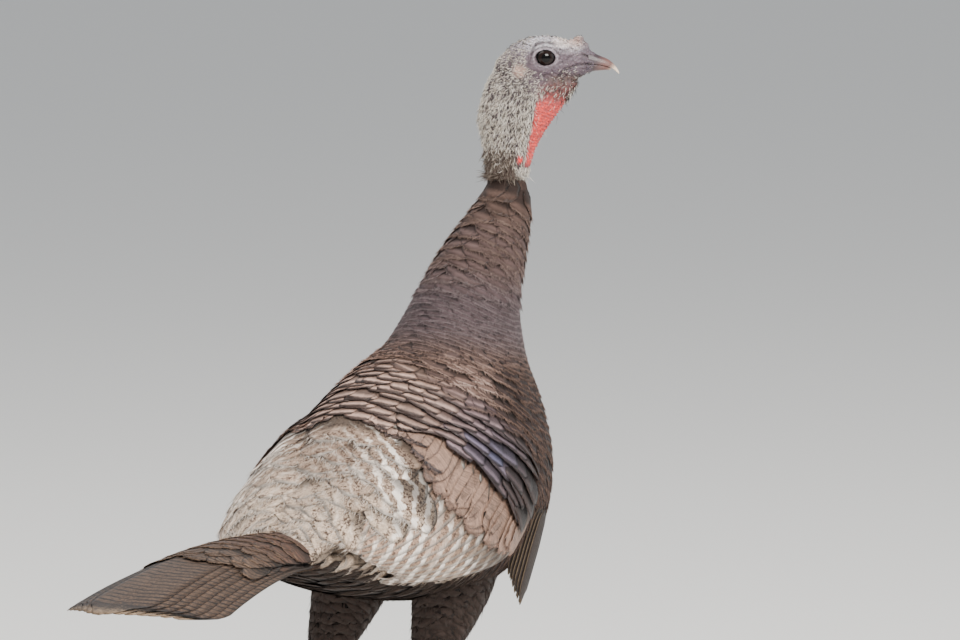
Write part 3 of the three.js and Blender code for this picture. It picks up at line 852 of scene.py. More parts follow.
contourPlumage = plumageMaterial("contourPlumage", {
    "marks": {"Band start": 0.78, "Edge start": 0.93}, "roughness": 0.68, "bump": 0.5, "gloss": 0.15, "sheen": 0.04})
covertPlumage = plumageMaterial("covertPlumage", {
    "marks": {"Band start": 0.86, "Edge start": 0.98}, "roughness": 0.5, "bump": 0.45, "gloss": 0.3, "sheen": 0.02})
quillPlumage = plumageMaterial("quillPlumage", {
    "marks": {"Edge start": 0.97, "Rim": 0.35}, "roughness": 0.62, "bump": 0.45, "gloss": 0.3, "sheen": 0.05})

# neck, mantle, breast and belly: lengths count in rows and widths in gaps
ruffTuft = {"length": 2.4, "width": 2.6, "low": -3.4, "high": 1.3, "mess": 4.0, "uneven": 0.05}
neckTuft = {"length": 3.6, "width": 2.3, "low": -1.2, "high": 0.1, "mess": 4.0, "uneven": 0.03}
mantleTuft = {"length": 2.6, "width": 2.0, "low": -2.8, "high": 0.9, "mess": 11.0, "uneven": 0.14}
covertTuft = {"length": 2.85, "width": 2.0, "low": -3.4, "high": 0.8, "mess": 4.5, "uneven": 0.07}
breastTuft = {"length": 2.8, "width": 2.2, "low": -2.2, "high": 0.0, "mess": 5.0, "uneven": 0.06}
bellyTuft = {"length": 2.8, "width": 2.2, "low": -3.0, "high": -0.2, "mess": 9.0, "uneven": 0.1}

ruff = laidRows(bodySurface, -0.6, 2.4, 0, 178, 10.5, 13.5, False, 60, ruffTuft)
ruff = keepWhere(ruff, (ruff["a"] > -0.1) | (np.abs(ruff["b"]) < 58))
neck = laidRows(bodySurface, 2.2, 4.1, 0, 178, 4.7, 11.5, False, 60, neckTuft)
mantle = laidRows(coatSurface, 2.16, 4.17, 0, 97, 8.0, 11.5, True, 30, mantleTuft)
mantle = keepWhere(mantle, mantle["a"] > 3.7)
coverts = laidRows(coatSurface, 4.14, 5.24, 0, 97, 9.4, 14.0, True, 15, covertTuft, 0.22)
lower = laidRows(coatSurface, 5.48, 5.79, 0, 40, 9.4, 14.0, True, 15, covertTuft)
lower = keepWhere(lower, np.abs(lower["b"]) < 44 - 40 * (lower["a"] - tiltOf(np.abs(lower["b"])) - 5.3))
coverts = gather([coverts, lower])
coverts["face"] = coverts["face"] * (0.72 + 0.5 * chance.random((len(coverts["a"]), 1)))
sides = laidRows(bodySurface, 3.9, 6.6, 84, 178, 8.0, 9.5, False, 110, breastTuft)
front = laidRows(bodySurface, 6.4, 8.6, 96, 178, 9.0, 11.0, False, 150, breastTuft)
belly = laidRows(bodySurface, 8.2, 12.3, 96, 178, 10.0, 12.0, False, 150, bellyTuft)


def layCoats():
    ragged = dict(contour, cols=6, round=0.08, fray=0.035, cup=0.006, hairs=22, hairLength=3.8, hairWidth=0.4)
    level = dict(contour, cols=6, round=0.03, fray=0.01, cup=0.002, hairs=16, hairLength=2.6, hairWidth=0.36)
    square = dict(contour, rows=6, cols=6, round=0.04, fray=0.015, cup=0.005, hairs=12, hairLength=1.6, hairWidth=0.4,
                  patch=0.006)
    blunt = dict(contour, round=0.08, hairs=14, hairWidth=0.42)
    for name, roots, surface, shape, material in (
        ("neck_ruff", ruff, bodySurface, dict(ragged, cols=8, round=0.1, hairs=34, hairLength=3.8), contourPlumage),
        ("neck_plumage", neck, bodySurface, level, contourPlumage),
        ("mantle_plumage", mantle, coatSurface, ragged, contourPlumage),
        ("covert_rows", coverts, coatSurface, square, covertPlumage),
        ("breast_sides", sides, bodySurface, dict(blunt, hairLength=3.4), contourPlumage),
        ("breast_front", front, bodySurface, dict(blunt, hairLength=3.6), contourPlumage),
        ("belly_plumage", belly, bodySurface, dict(contour, hairLength=3.5), contourPlumage),
    ):
        finishCoat(growFeathers(name, surface, roots, shape), material)


layCoats()


def lengthTo(surface, fromAlong, toAlong, turn):
    # run of the surface between two sections, feather by feather
    total = np.zeros(len(turn))
    last = surface[0](fromAlong, turn)
    for step in np.linspace(0, 1, 13)[1:]:
        here = surface[0](fromAlong + (toAlong - fromAlong) * step, turn)
        total += np.linalg.norm(here - last, axis=-1)
        last = here
    return total


def bothSides(turn):
    return np.concatenate([turn, -turn])


# greater coverts: the plain tan band over the quills
greater = {"first": 18.0, "last": 104.0, "count": 20, "under": 0.75, "width": 22.0, "heading": 6.0, "low": -6.0,
           "high": 0.4, "roll": -0.18}


def layGreaterCoverts():
    turn = bothSides(np.linspace(greater["first"], greater["last"], greater["count"]))
    size = np.abs(turn)
    count = len(size)
    root = rowRoot(size) - greater["under"]
    roots = rootsAt(root, turn, lengthTo(coatSurface, root, rowTip(size), turn), greater["width"], greater["heading"],
                    greater["low"], greater["high"], greater["roll"])
    dark = 1 - ramp(size, 44, 60)
    roots["bend"] = -10.0 + 4.0 * chance.normal(size=count)
    roots["heading"] = roots["heading"] + 2.0 * chance.normal(size=count)
    roots["length"] = roots["length"] * (1 + 0.04 * chance.normal(size=count))
    roots["high"] = roots["high"] + 0.9 * dark + 0.1 * chance.normal(size=count)
    # the third mark, 0.22, starts the painted shade over the covered part of each covert
    dress(roots, face=mixed(palette["covertWarm"], palette["tan"], ramp(size, 20, 40)), band=palette["black"],
          edge=palette["mantleTip"], marks=[0, 0.45, 0.22], speckle=0.6)
    roots["marks"][:, 0] = dark
    shape = dict(contour, rows=12, cols=8, round=0.13, fray=0.03, rise=1.3, cup=0.0, ridge=0.0, patch=0.0122,
                 hairs=24, hairLength=3.2, hairWidth=0.4)
    finishCoat(growFeathers("greater_coverts", coatSurface, roots, shape), greaterPlumage)


greaterPlumage = plumageMaterial("greaterPlumage", {
    "marks": {"Band start": 0.9, "Edge start": 0.97, "Rim": 0.25, "Strand": 2.2},
    "roughness": 0.55, "bump": 0.5, "gloss": 0.35, "sheen": 0.05})
layGreaterCoverts()

# secondaries: the barred quills of the folded wing, the upper ones over the lower
quills = {"first": 34.0, "last": 110.0, "count": 16, "width": 34.0, "heading": -5.0, "bend": 8.0, "roll": 0.9,
          "low": -5.0, "high": -0.8}


def laySecondaries():
    first, last = quills["first"], quills["last"]
    turn = bothSides(np.linspace(first, last, quills["count"]))
    size = np.abs(turn)
    root = rowRoot(np.minimum(size, 100)) - 0.1
    end = np.interp(size, (30, 50, 80, 110), (10.9, 11.05, 10.9, 10.4))
    roots = rootsAt(root, turn, lengthTo(coatSurface, root, end, turn), quills["width"], quills["heading"],
                    quills["low"], quills["high"], quills["roll"])
    # the third mark, 0.2, starts the painted shade over the covered part of each quill
    dress(roots, face=mixed(palette["quillHigh"], palette["quillLow"], ramp(size, 60, 95)), edge=palette["white"],
          marks=[0, 0.9, 0.2], speckle=1.0, bend=quills["bend"])
    roots["tone"] = 0.5 + 0.3 * chance.random(len(size))
    # each long quill has a place of its own on the bake map, spread evenly to both sides
    roots["bake"][:, 0] = 0.5 + np.sign(turn) * (0.015 + 0.47 * (size - first) / (last - first))
    shape = dict(contour, rows=30, cols=8, round=0.05, fray=0.004, lean=0.4, rise=0.6, cup=0.005, thick=0.6,
                 profileAt=(0, 0.1, 0.3, 0.85, 0.96, 1), profile=(0.3, 0.75, 1, 1, 0.8, 0.45), patch=0.028,
                 bars=streakBars, hairs=16, hairLength=3.5, hairWidth=0.4)
    finishCoat(growFeathers("secondaries", coatSurface, roots, shape), quillPlumage)


laySecondaries()

# tertials and rump: broad soft pale feathers over the lower back
rumpTuft = {"length": 2.4, "width": 2.1, "low": -1.6, "high": 0.5, "mess": 12.0, "uneven": 0.12}


def layRump():
    roots = laidRows(coatSurface, 5.9, 11.8, 0, 52, 17.0, 21.0, False, 12, rumpTuft)
    roots = keepWhere(roots, roots["a"] > rowTip(np.abs(roots["b"])) - 0.6)
    face = mixed(palette["dusk"], palette["pale"], ramp(roots["a"], 6.6, 8.4))
    # the third mark, 0.5, starts the painted shade over the covered part of each feather
    dress(roots, face=mixed(face, palette["rust"], ramp(roots["a"], 11.1, 11.7)), edge=palette["white"],
          marks=[0, 0.9, 0.5], speckle=1.0)
    shape = dict(contour, rows=8, cols=8, round=0.16, fray=0.03, bars=streakBars, patch=0.008,
                 hairs=34, hairLength=7.5, hairWidth=0.45)
    finishCoat(growFeathers("rump_plumage", coatSurface, roots, shape), rumpPlumage)


rumpPlumage = plumageMaterial("rumpPlumage", {
    "marks": {"Edge start": 0.96, "Bar breaks": 1.0, "Bar wander": 1.6, "Speckle colour": rgba(tint(72, 50, 39))},
    "roughness": 0.7, "bump": 0.5, "gloss": 0.2, "sheen": 0.08})
layRump()


# primaries: the folded hand that hangs below the wrist
hand = {"count": 6, "width": 14.0, "root": (90, -60, 276), "tip": (80, -36, 204), "fan": 5.0}


def layHands():
    for side, sign in (("right", -1), ("left", 1)):
        root, tip = (np.array(hand[key]) * [sign, 1.0, 1.0] for key in ("root", "tip"))
        forward = (tip - root) / np.linalg.norm(tip - root)
        outward = np.array([sign, 0.0, 0.0])
        outward = outward - forward * (outward @ forward)
        outward /= np.linalg.norm(outward)
        backward = np.cross(forward, outward)
        backward *= np.sign(backward[1])

        def point(a, b):
            return root + a[..., None] * forward + b[..., None] * backward

        def middle(a, b):
            return point(a, b) - outward * 5

        order = np.arange(hand["count"])
        roots = rootsAt(0.0 * order, 2.0 * order - 5.0, np.linalg.norm(tip - root) * (1 - 0.05 * order), hand["width"],
                        hand["fan"] * (order / (len(order) - 1) - 0.35), 3.0 - 1.3 * order, 3.0 - 1.5 * order, 0.5)
        dress(roots, side=1.0, face=palette["hand"], edge=palette["handEdge"], band=palette["black"],
              marks=[0.0, 0.5, -1.0], speckle=0.2)
        roots["bake"] = np.stack([0.5 + sign * (0.30 + 0.03 * order), 0.97 + 0.0 * order], -1)
        shape = dict(contour, rows=14, cols=4, round=0.05, fray=0.01, cup=0.03, thick=0.8, patch=0.02, hairs=0,
                     profileAt=(0, 0.1, 0.4, 0.85, 1), profile=(0.4, 0.8, 1, 0.9, 0.45))
        coat = growFeathers("primaries_plumage_" + side, (point, middle, 0.5, 0.5), roots, shape)
        finishCoat(coat, quillPlumage)


layHands()

# tail: broad feathers closed over each other, with coverts above and below
train = {"count": 15, "width": 52.0, "spread": 0.86, "covertLength": 39.0, "covertWidth": 17.0}


def tailSurface(side):
    def point(a, b):
        return tailPoint(a, b / 100, side)

    def middle(a, b):
        return point(a, b) - np.array([0, 0, side * 5.0])

    return point, middle, 0.02, 0.5


def layTail():
    order = np.linspace(-1, 1, train["count"])
    across = order * train["spread"] * 100
    surface = tailSurface(1)
    start = 0 * order + 0.3
    roots = rootsAt(start, across, lengthTo(surface, start, 5.0 - 0.25 * np.abs(order), across), train["width"], 0.0,
                    -3.0 - 3.0 * np.abs(order), -0.3 - 1.2 * np.abs(order), 0.8)
    # the third mark, 0.1, starts the painted shade over the covered part of each tail feather
    dress(roots, face=palette["tail"], band=palette["tailBar"], edge=palette["tailTip"], marks=[0.9, 0.8, 0.1],
          speckle=0.6)
    roots["bake"] = np.stack([0.5 + 0.3 * order, 0 * order + 0.97], -1)
    shape = dict(contour, rows=26, cols=8, round=0.07, fray=0.004, rise=0.5, cup=0.0, thick=0.7, patch=0.03, hairs=0,
                 profileAt=(0, 0.1, 0.4, 0.9, 0.97, 1), profile=(0.3, 0.6, 0.8, 1, 0.85, 0.5),
                 bars=crossBars(6.5, 0.36, 5.0))
    finishCoat(growFeathers("tail_plumage", surface, roots, shape), tailPlumage)
    shape = dict(contour, rows=7, cols=6, bars=crossBars(5.5, 0.34, 4.0), hairs=9, hairLength=3.0, patch=0.006)
    for side, name, start, end, low, high in (
        (1, "upper_tail_coverts", -0.6, 2.3, -1.0, 1.0), (-1, "under_tail_coverts", -0.9, 2.6, -2.0, 0.0),
    ):
        laid = []
        for number, line in enumerate(np.arange(start, end, 0.36)):
            b = np.arange(-90 + 9 * (number % 2), 91, 18.0)
            a = np.full(len(b), line)
            part = rootsAt(a, b, train["covertLength"] * (1 + 0.06 * chance.normal(size=len(b))), train["covertWidth"],
                           chance.normal(size=len(b)) * 4, low, high, 0.0)
            # the third mark, 0.55, starts the painted shade over the covered part of each covert
            dress(part, face=mixed(palette["trainFace"], palette["trainRust"], 1 - ramp(a, 0.3, 2.2)),
                  band=palette["tailBar"], edge=palette["trainTip"], marks=[0.5, 0.7, 0.55], speckle=0.7)
            part["bake"] = np.stack([0.5 + b / 300, 0.5 + side * 0.2 + a / 20], -1)
            laid.append(part)
        finishCoat(growFeathers(name, tailSurface(side), gather(laid), shape), tailPlumage)


tailPlumage = plumageMaterial("tailPlumage", {
    "marks": {"Bar colour": rgba(palette["tailBar"]), "Bar wander": 0.5, "Bar breaks": 0.3,
              "Speckle colour": rgba(palette["tailBar"]), "Band start": 0.9, "Edge start": 0.97},
    "roughness": 0.6, "bump": 0.45, "gloss": 0.35, "sheen": 0.05})
layTail()

# thighs: short dark feathers in rings, closer towards the ankle
thigh = {"gap": 11.0, "lowGap": 7.0, "mess": 9.0}


def layThighs():
    for side, sign in (("left", 1), ("right", -1)):
        point, middle = thighPoint(side)
        laid = []
        for number, line in enumerate(np.arange(-0.3, 4.7, 0.3)):
            row = readThigh(np.array([line]))[0]
            gap = thigh["gap"] if line < 3 else thigh["lowGap"]
            around = max(6, int(math.pi * (row[3] + row[4]) / gap))
            b = (np.arange(around) + 0.5 * (number % 2)) * 360 / around
            a = np.full(around, line)
            part = rootsAt(a, b, 24.0 - 2.6 * line, gap * 2.3, chance.normal(size=around) * thigh["mess"],
                           -1.8 + 0.2 * line, 0.1, 0.0)
            dress(part, face=palette["thigh"], edge=palette["bellyTip"], band=palette["black"],
                  marks=[0.0, 0.2, -1.0], speckle=0.3)
            part["bake"] = np.stack([0.5 + sign * (0.06 + b / 1000), 0.1 + a / 12], -1)
            laid.append(part)
        shape = dict(contour, round=0.05, fray=0.05, hairs=13, hairLength=4.2, hairWidth=0.42)
        coat = growFeathers("thigh_plumage_" + side, (point, middle, 0.02, 0.5), gather(laid), shape)
        finishCoat(coat, contourPlumage)


layThighs()

# skin: one piece over the head, neck, trunk and legs
eyeAt = np.array([-39.6, -151.0, 621.0])
headAxes = np.array([[-0.8480, -0.5299, 0], [0.5299, -0.8480, 0], [0, 0, 1.0]])


def toHead(points):
    # forward, to the bird's left, and up, in millimetres from the middle of the eyes
    return (np.asarray(points) * 1000 - shift - eyeAt) @ headAxes.T


def fromHead(local):
    return toFrame(np.asarray(local) @ headAxes + eyeAt)


def copyNodes(name, names):
    copies = []
    for node in names:
        copy = nodes[node].copy()
        copy.data = nodes[node].data.copy()
        for key in list(copy.keys()):
            del copy[key]
        copy.parent = None
        copy.hide_render = False
        copy.hide_viewport = False
        copy.data.materials.clear()
        bpy.context.scene.collection.objects.link(copy)
        copies.append(copy)
    return joined(name, copies)


def joined(name, things):
    if len(things) == 1:
        things[0].name = name
        return things[0]
    deselectAll()
    for thing in things:
        thing.select_set(True)
    bpy.context.view_layer.objects.active = things[0]
    bpy.ops.object.join()
    thing = bpy.context.view_layer.objects.active
    thing.name = name
    thing.data.name = name
    return thing


def mergeDoubles(thing):
    activate(thing)
    bpy.ops.object.mode_set(mode="EDIT")
    bpy.ops.mesh.select_all(action="SELECT")
    bpy.ops.mesh.remove_doubles(threshold=0.00002)
    bpy.ops.object.mode_set(mode="OBJECT")


def remeshed(thing, voxel, rounds):
    mergeDoubles(thing)
    activate(thing)
    grid = thing.modifiers.new("even", "REMESH")
    grid.mode = "VOXEL"
    grid.voxel_size = voxel
    grid.use_smooth_shade = True
    if rounds:
        soft = thing.modifiers.new("soften", "SMOOTH")
        soft.factor = 0.5
        soft.iterations = rounds
    applyModifiers(thing)
    return thing


def faceOutward(mesh):
    shell = bmesh.new()
    shell.from_mesh(mesh)
    bmesh.ops.recalc_face_normals(shell, faces=shell.faces)
    shell.to_mesh(mesh)
    shell.free()


def snout(name, rows):
    # a closed half-round body: forward place, half width, height of its crest and height of its flat side
    turn = np.linspace(0, math.pi, 15)
    rings = [fromHead(np.stack([np.full(15, x), half * np.cos(turn), flat + (crest - flat) * np.sin(turn)], -1))
             for x, half, crest, flat in rows]
    number, around = len(rings), 15
    faces = []
    for r in range(number - 1):
        for i in range(around):
            j = (i + 1) % around
            faces.append((r * around + i, r * around + j, (r + 1) * around + j, (r + 1) * around + i))
    faces.append(tuple(range(around - 1, -1, -1)))
    faces.append(tuple((number - 1) * around + i for i in range(around)))
    mesh = bpy.data.meshes.new(name)
    mesh.from_pydata([tuple(p) for p in np.concatenate(rings)], [], faces)
    faceOutward(mesh)
    thing = bpy.data.objects.new(name, mesh)
    bpy.context.scene.collection.objects.link(thing)
    return thing


def ball(name, place, size, segments=48, rings=32):
    deselectAll()
    bpy.ops.mesh.primitive_uv_sphere_add(segments=segments, ring_count=rings, radius=1, location=place)
    thing = bpy.context.active_object
    thing.name = name
    thing.scale = size
    placeInMesh(thing)
    smoothAll(thing)
    return thing


def nearLine(u, w, line):
    # distance in the side view from each point to a line through the given points
    best = np.full(u.shape, 1e9)
    line = np.asarray(line, float)
    for start, step in zip(line, np.diff(line, axis=0)):
        t = np.clip(((u - start[0]) * step[0] + (w - start[1]) * step[1]) / (step @ step), 0, 1)
        best = np.minimum(best, np.hypot(u - start[0] - t * step[0], w - start[1] - t * step[1]))
    return best


gapeLine = ((36, -5.2), (30.9, -5.2), (24.5, -6.4), (17.4, -9.2), (13.4, -11.9), (10.2, -14.3))
nostrilLine = ((29.5, 2.4), (34, 0.9), (38.8, -1.4))
upperFold = ((24, 9), (14, 5.5), (9, 7.5))
lowerFold = ((22, 2), (14, -3), (8, -7), (0, -9))
rearFold = ((-12, -2), (-14, -6), (-12, -13), (-4, -17))
face = {"lidHeight": 1.15, "lidCrease": 0.85, "gapeDepth": 1.2, "nostrilDepth": 1.4, "pebble": 0.45, "throatFold": 0.5,
        "voxel": 0.00085, "smooth": 5, "sink": 0.15}


def pleats(local):
    # a wave of fine folds across the throat
    return np.sin((local[:, 2] + 0.35 * local[:, 0] + 1.2 * wobble(local, 9, 15)) * 2 * math.pi / 2.7)


def headRelief(local):
    # how far the head's skin stands above the plain shape, in millimetres
    u, v, w = local[:, 0], np.abs(local[:, 1]), local[:, 2]
    sideways = ramp(v, 3.0, 6.5)
    oval = np.hypot(u / 7.5, w / 5.8)
    lid = bell(oval - 1.16, 0.10) * face["lidHeight"]
    lid -= bell(oval - 1.42, 0.10) * face["lidCrease"] * (0.6 + 0.4 * ramp(w, -3, 5))
    lid += bell(oval - 1.68, 0.13) * 0.45
    lid -= bell(oval - 1.95, 0.12) * 0.3 * ramp(w, -2, 6)
    relief = lid * sideways
    brow = nearLine(u, w, ((-11, 3), (-9.5, 8), (-6, 11), (0, 12.2), (7, 10.5)))
    relief += sideways * (-0.95 * bell(brow, 0.95) + 0.5 * bell(brow - 2.1, 0.9))
    gape = nearLine(u, w, gapeLine)
    relief += ramp(v, 1.0, 3.0) * (-face["gapeDepth"] * bell(gape, 0.75) + 0.45 * bell(gape - 1.8, 0.9))
    hood = np.exp(-(((u - 33) / 4.5) ** 2 + ((w - 3.6) / 1.6) ** 2))
    slit = bell(nearLine(u, w, nostrilLine), 0.8)
    relief += ramp(v, 1.2, 2.8) * (-face["nostrilDepth"] * slit + 0.7 * hood)
    ear = np.hypot(u + 20, w + 10.3)
    relief += sideways * (0.45 * bell(ear - 6.4, 1.2) - 0.5 * bell(ear, 4.2))
    cheek = nearLine(u, w, ((26, -1.5), (17, -4.5), (9, -9), (0, -11.5), (-8, -9)))
    relief += sideways * (0.5 * bell(cheek - 0.5, 1.6) - 0.35 * bell(cheek - 3.2, 1.0))
    bare = ramp(-w, 4, 14) + 0.4 + 0.5 * ramp(w, 0, 6)
    pebble = wobble(local, 2.6, 11) + 0.8 * wobble(local, 1.7, 12)
    relief += face["pebble"] * pebble * np.minimum(bare, 1)
    lump = np.exp(-(((u - 26) / 6.5) ** 2 + ((w - 13.5) / 6.0) ** 2))
    relief += 0.8 * lump * wobble(local, 3.0, 14)
    throat = throatShare(local)
    relief += throat * face["throatFold"] * pleats(local)
    relief += ramp(-w, 30, 45) * (1 - throat) * 0.5 * wobble(local, 6.5, 16)
    relief += loreShare(local) * 0.5 * wobble(local * [0.6, 1, 1.5], 3.4, 17)
    for line, width, depth in ((upperFold, 0.8, 0.45), (lowerFold, 0.8, 0.45), (rearFold, 0.9, 0.4)):
        relief -= sideways * depth * bell(nearLine(u, w, line), width)
    return relief - 2.2 * ramp(-w, 86, 95)


def loreShare(local):
    # the bare wrinkled skin between eye and bill
    u, w = local[:, 0], local[:, 2]
    return ramp(u, 5, 11) * (1 - ramp(w, 8, 13)) * ramp(w, -14, -9)


def throatShare(local):
    # how much of a place belongs to the salmon throat
    u, w = local[:, 0], local[:, 2]
    rear = np.interp(-w, (20, 28, 36, 50, 70, 84, 96), (6, -1, -7, -9.5, -13.5, -16.5, -22))
    inside = ramp(u, rear - 1.2, rear + 1.8)
    return inside * ramp(-w - 0.25 * np.maximum(u, 0), 23, 42) * (1 - ramp(-w, 82, 88))


def makeHead():
    head = copyNodes("head_skin", ["head", "neck_upper", "snood"])
    # head and neck are drawn a little into each other, so that they melt into one
    local = toHead(vertexArray(head.data))
    inCut = (local[:, 2] < -28.9) & (local[:, 2] > -29.6)
    local[inCut, 2] = np.where(local[inCut, 2] < -29.2, -28.6, local[inCut, 2])
    setVertices(head.data, fromHead(local))
    cere = snout("cere", ((26, 6.6, 9.6, -4.4), (31, 6.2, 7.9, -4.6), (35, 5.75, 5.9, -4.9), (38.5, 5.3, 3.9, -5.1),
                          (40.4, 4.9, 2.6, -5.2), (41, 4.0, 1.6, -4.6)))
    jaw = snout("jaw", ((26, 6.0, -13.8, -6), (31, 5.9, -13.4, -6), (34.5, 5.4, -12.6, -6.2), (37.5, 4.7, -11.5, -6.4),
                        (38.4, 4.0, -10.8, -6.8)))
    balls = []
    for name, place, size, segments, rings in (
        ("nape", (-27, 0, -9), (12.5, 11, 12.5), 32, 20), ("lump", (21.5, 0, 9.6), (5.2, 4.4, 4.6), 24, 16),
        ("lump", (26.5, 0, 11.6), (4.4, 3.8, 4.6), 24, 16), ("lump", (30.5, 0, 7.6), (4.6, 4.2, 4.6), 24, 16),
        ("lump", (27.8, 0, 14.2), (2.9, 2.8, 3.0), 24, 16),
    ):
        added = ball(name, (0, 0, 0), (1, 1, 1), segments, rings)
        setVertices(added.data, fromHead(vertexArray(added.data) * size + place))
        balls.append(added)
    head = joined("head_skin", [head, cere, jaw] + balls)
    remeshed(head, face["voxel"], face["smooth"])
    points = vertexArray(head.data)
    relief = headRelief(toHead(points)) - face["sink"]
    setVertices(head.data, points + normalArray(head.data) * relief[:, None] * 0.001)
    return head


# crease is the dark of the painted shade in grooves and folds, and of the crown's dark specks
headHues = {
    "crown": tint(196, 192, 198), "lilac": tint(92, 77, 86), "lid": tint(160, 148, 156), "nape": tint(50, 42, 43),
    "ear": tint(196, 164, 148), "throat": tint(226, 70, 62), "upperThroat": tint(118, 56, 51), "chin": tint(82, 62, 55),
    "snood": tint(176, 144, 132), "crease": tint(36, 26, 30), "cere": tint(76, 64, 74), "spot": tint(236, 40, 38),
    "margin": tint(26, 19, 20), "brow": tint(228, 210, 200), "bristleGrey": tint(122, 112, 116),
    "nostrilShade": tint(30, 24, 26),
}


def headColour(local):
    u, v, w = local[:, 0], np.abs(local[:, 1]), local[:, 2]
    mottle = wobble(local, 5, 31) * 0.5 + 0.5
    oval = np.hypot(u / 7.5, w / 5.8)
    side = ramp(v, 4, 7)
    lores = loreShare(local)
    # painted shade in the lores' wrinkles and painted highlight on their ridges, from the same waves
    paintedFoldShade = ramp(wobble(local * [0.45, 1, 1.6], 3.0, 35) + 0.5 * wobble(local, 1.6, 36), 0.05, 0.75)
    paintedHighlight = ramp(-wobble(local * [0.5, 1, 1.6], 3.0, 35), 0.15, 0.6)
    crease = lambda line, width: bell(nearLine(u, w, line), width)
    speck = ramp(wobble(local, 1.5, 37) + 0.5 * wobble(local, 0.9, 38), 0.2, 0.75) * ramp(w, -2, 5)
    colour = np.broadcast_to(headHues["lilac"], local.shape).copy()
    for hue, share in (
        ("crown", ramp(w, 1, 10) * (0.75 + 0.25 * mottle)),
        ("brow", ramp(w, 6, 12) * ramp(u, 2, 14) * (0.6 + 0.4 * mottle)),
        ("bristleGrey", ramp(-u, 8, 20) * ramp(w, -14, 0) * 0.5),
        ("nape", ramp(-u - 0.35 * w, 14, 26) * ramp(-w, -8, 12)),
        ("nape", ramp(-w, 26, 40)),
        ("chin", ramp(-w, 11, 17) * ramp(u, -4, 8)),
        ("upperThroat", ramp(-w, 17, 26) * ramp(u, -10, -2) * 0.8),
        ("throat", throatShare(local)),
        ("lid", bell(oval - 1.27, 0.13) * side),
        ("margin", (1 - ramp(oval, 1.02, 1.12)) * side),
        # painted shade in the groove round the eye, darker above it
        ("crease", 0.7 * bell(oval - 1.46, 0.09) * side * ramp(w - 0.2 * u, -5, 4)),
        # painted shade in the lores' folds and painted highlight between them, in the lid colour
        ("crease", 0.55 * paintedFoldShade * lores * side),
        ("lid", 0.6 * paintedHighlight * lores * side),
        ("ear", bell(np.hypot(u + 20, w + 10.3), 5.2, 4) * side),
        ("snood", np.exp(-(((u - 25) / 7) ** 2 + ((w - 14) / 5) ** 2))),
        # painted shade in the folds of the face and in the groove of the arch over the eye
        ("crease", 0.5 * crease(upperFold, 0.9) * side),
        ("crease", 0.45 * crease(lowerFold, 0.9) * side),
        ("crease", 0.4 * crease(rearFold, 1.0) * side),
        ("crease", 0.85 * crease(((-11, 3), (-9.5, 8), (-6, 11), (0, 12.2), (6, 11)), 1.1) * side),
        ("cere", ramp(u, 24, 32) * 0.8),
        # painted shade in the gape
        ("crease", 0.9 * crease(gapeLine, 0.85) * ramp(v, 1, 3)),
        # painted shade in the nostril slit
        ("nostrilShade", 0.95 * bell(nearLine(u, w, nostrilLine), 0.9, 4) * ramp(v, 1.2, 2.4)),
        ("spot", bell(np.hypot(u + 20, (w + 80) * 0.7), 2.4, 4) * (local[:, 1] < 0)),
        ("crease", 0.45 * speck),
    ):
        colour = mixed(colour, headHues[hue], share)
    stain = 1 + 0.24 * wobble(local * [0.6, 1, 1], 2.4, 33) + 0.2 * wobble(local, 1.5, 34)
    # painted shade: the throat is darker in the troughs of its pleats
    stain = stain * (1 + 0.2 * np.minimum(pleats(local), 0) * throatShare(local))
    return np.clip(colour * stain[:, None], 0, 1)


legShape = {"scute": 5.2, "scuteRise": 0.42, "toeScute": 3.6, "grow": 0.0003, "sink": 0.35,
            "voxel": 0.0009, "smooth": 6, "toeHue": tint(158, 112, 104),
            "shankHue": tint(116, 88, 84)}


def legNames(side):
    return ["shank_" + side] + ["toe_" + side + "_" + toe for toe in toes]


def makeLegs():
    legs = []
    for side, sign in (("left", 1), ("right", -1)):
        leg = copyNodes("leg_" + side, legNames(side))
        leg.modifiers.new("weld", "WELD").merge_threshold = 0.00002
        push = leg.modifiers.new("grow", "DISPLACE")
        push.strength = legShape["grow"]
        push.mid_level = 0
        applyModifiers(leg)
        remeshed(leg, legShape["voxel"], legShape["smooth"])
        points = vertexArray(leg.data)
        normals = normalArray(leg.data)
        # place of each point beside, behind and above the middle of its foot, in millimetres
        x = points[:, 0] * 1000 * sign - 44.0
        y = points[:, 1] * 1000 - shift[1] - footForward[side]
        z = points[:, 2] * 1000
        onShank = ramp(z, 12, 17)
        front = ramp(-normals[:, 1], 0.0, 0.6)
        wave = (z / legShape["scute"]) % 1.0
        plate = legShape["scuteRise"] * (wave ** 1.5) * front * onShank
        reach = np.hypot(x, y)
        wave = (reach / legShape["toeScute"]) % 1.0
        toe = legShape["scuteRise"] * 0.8 * (1 - wave) ** 1.2 * ramp(normals[:, 2], 0.1, 0.7)
        toe = toe * (1 - onShank) * ramp(reach, 6, 12)
        under = 0.12 * wobble(points * 1000, 1.8, 21) * (1 - front * onShank) * ramp(z, 0.4, 1.5)
        points = points + normals * (plate + toe + under - legShape["sink"])[:, None] * 0.001
        points[:, 2] = np.maximum(points[:, 2], 0.0)
        setVertices(leg.data, points)
        legs.append(leg)
    return legs


def nearestPlace(points):
    # the section and angle of the plumage surface nearest to each point of the skin
    along, turn = np.meshgrid(np.linspace(0, 12.4, 140), np.linspace(-180, 178, 180), indexing="ij")
    grid = toFrame(coatPoint(along, turn)).reshape(-1, 3)
    tree = kdtree.KDTree(len(grid))
    for i, p in enumerate(grid):
        tree.insert(p, i)
    tree.balance()
    index = np.array([tree.find(p)[1] for p in points])
    return along.ravel()[index], turn.ravel()[index]


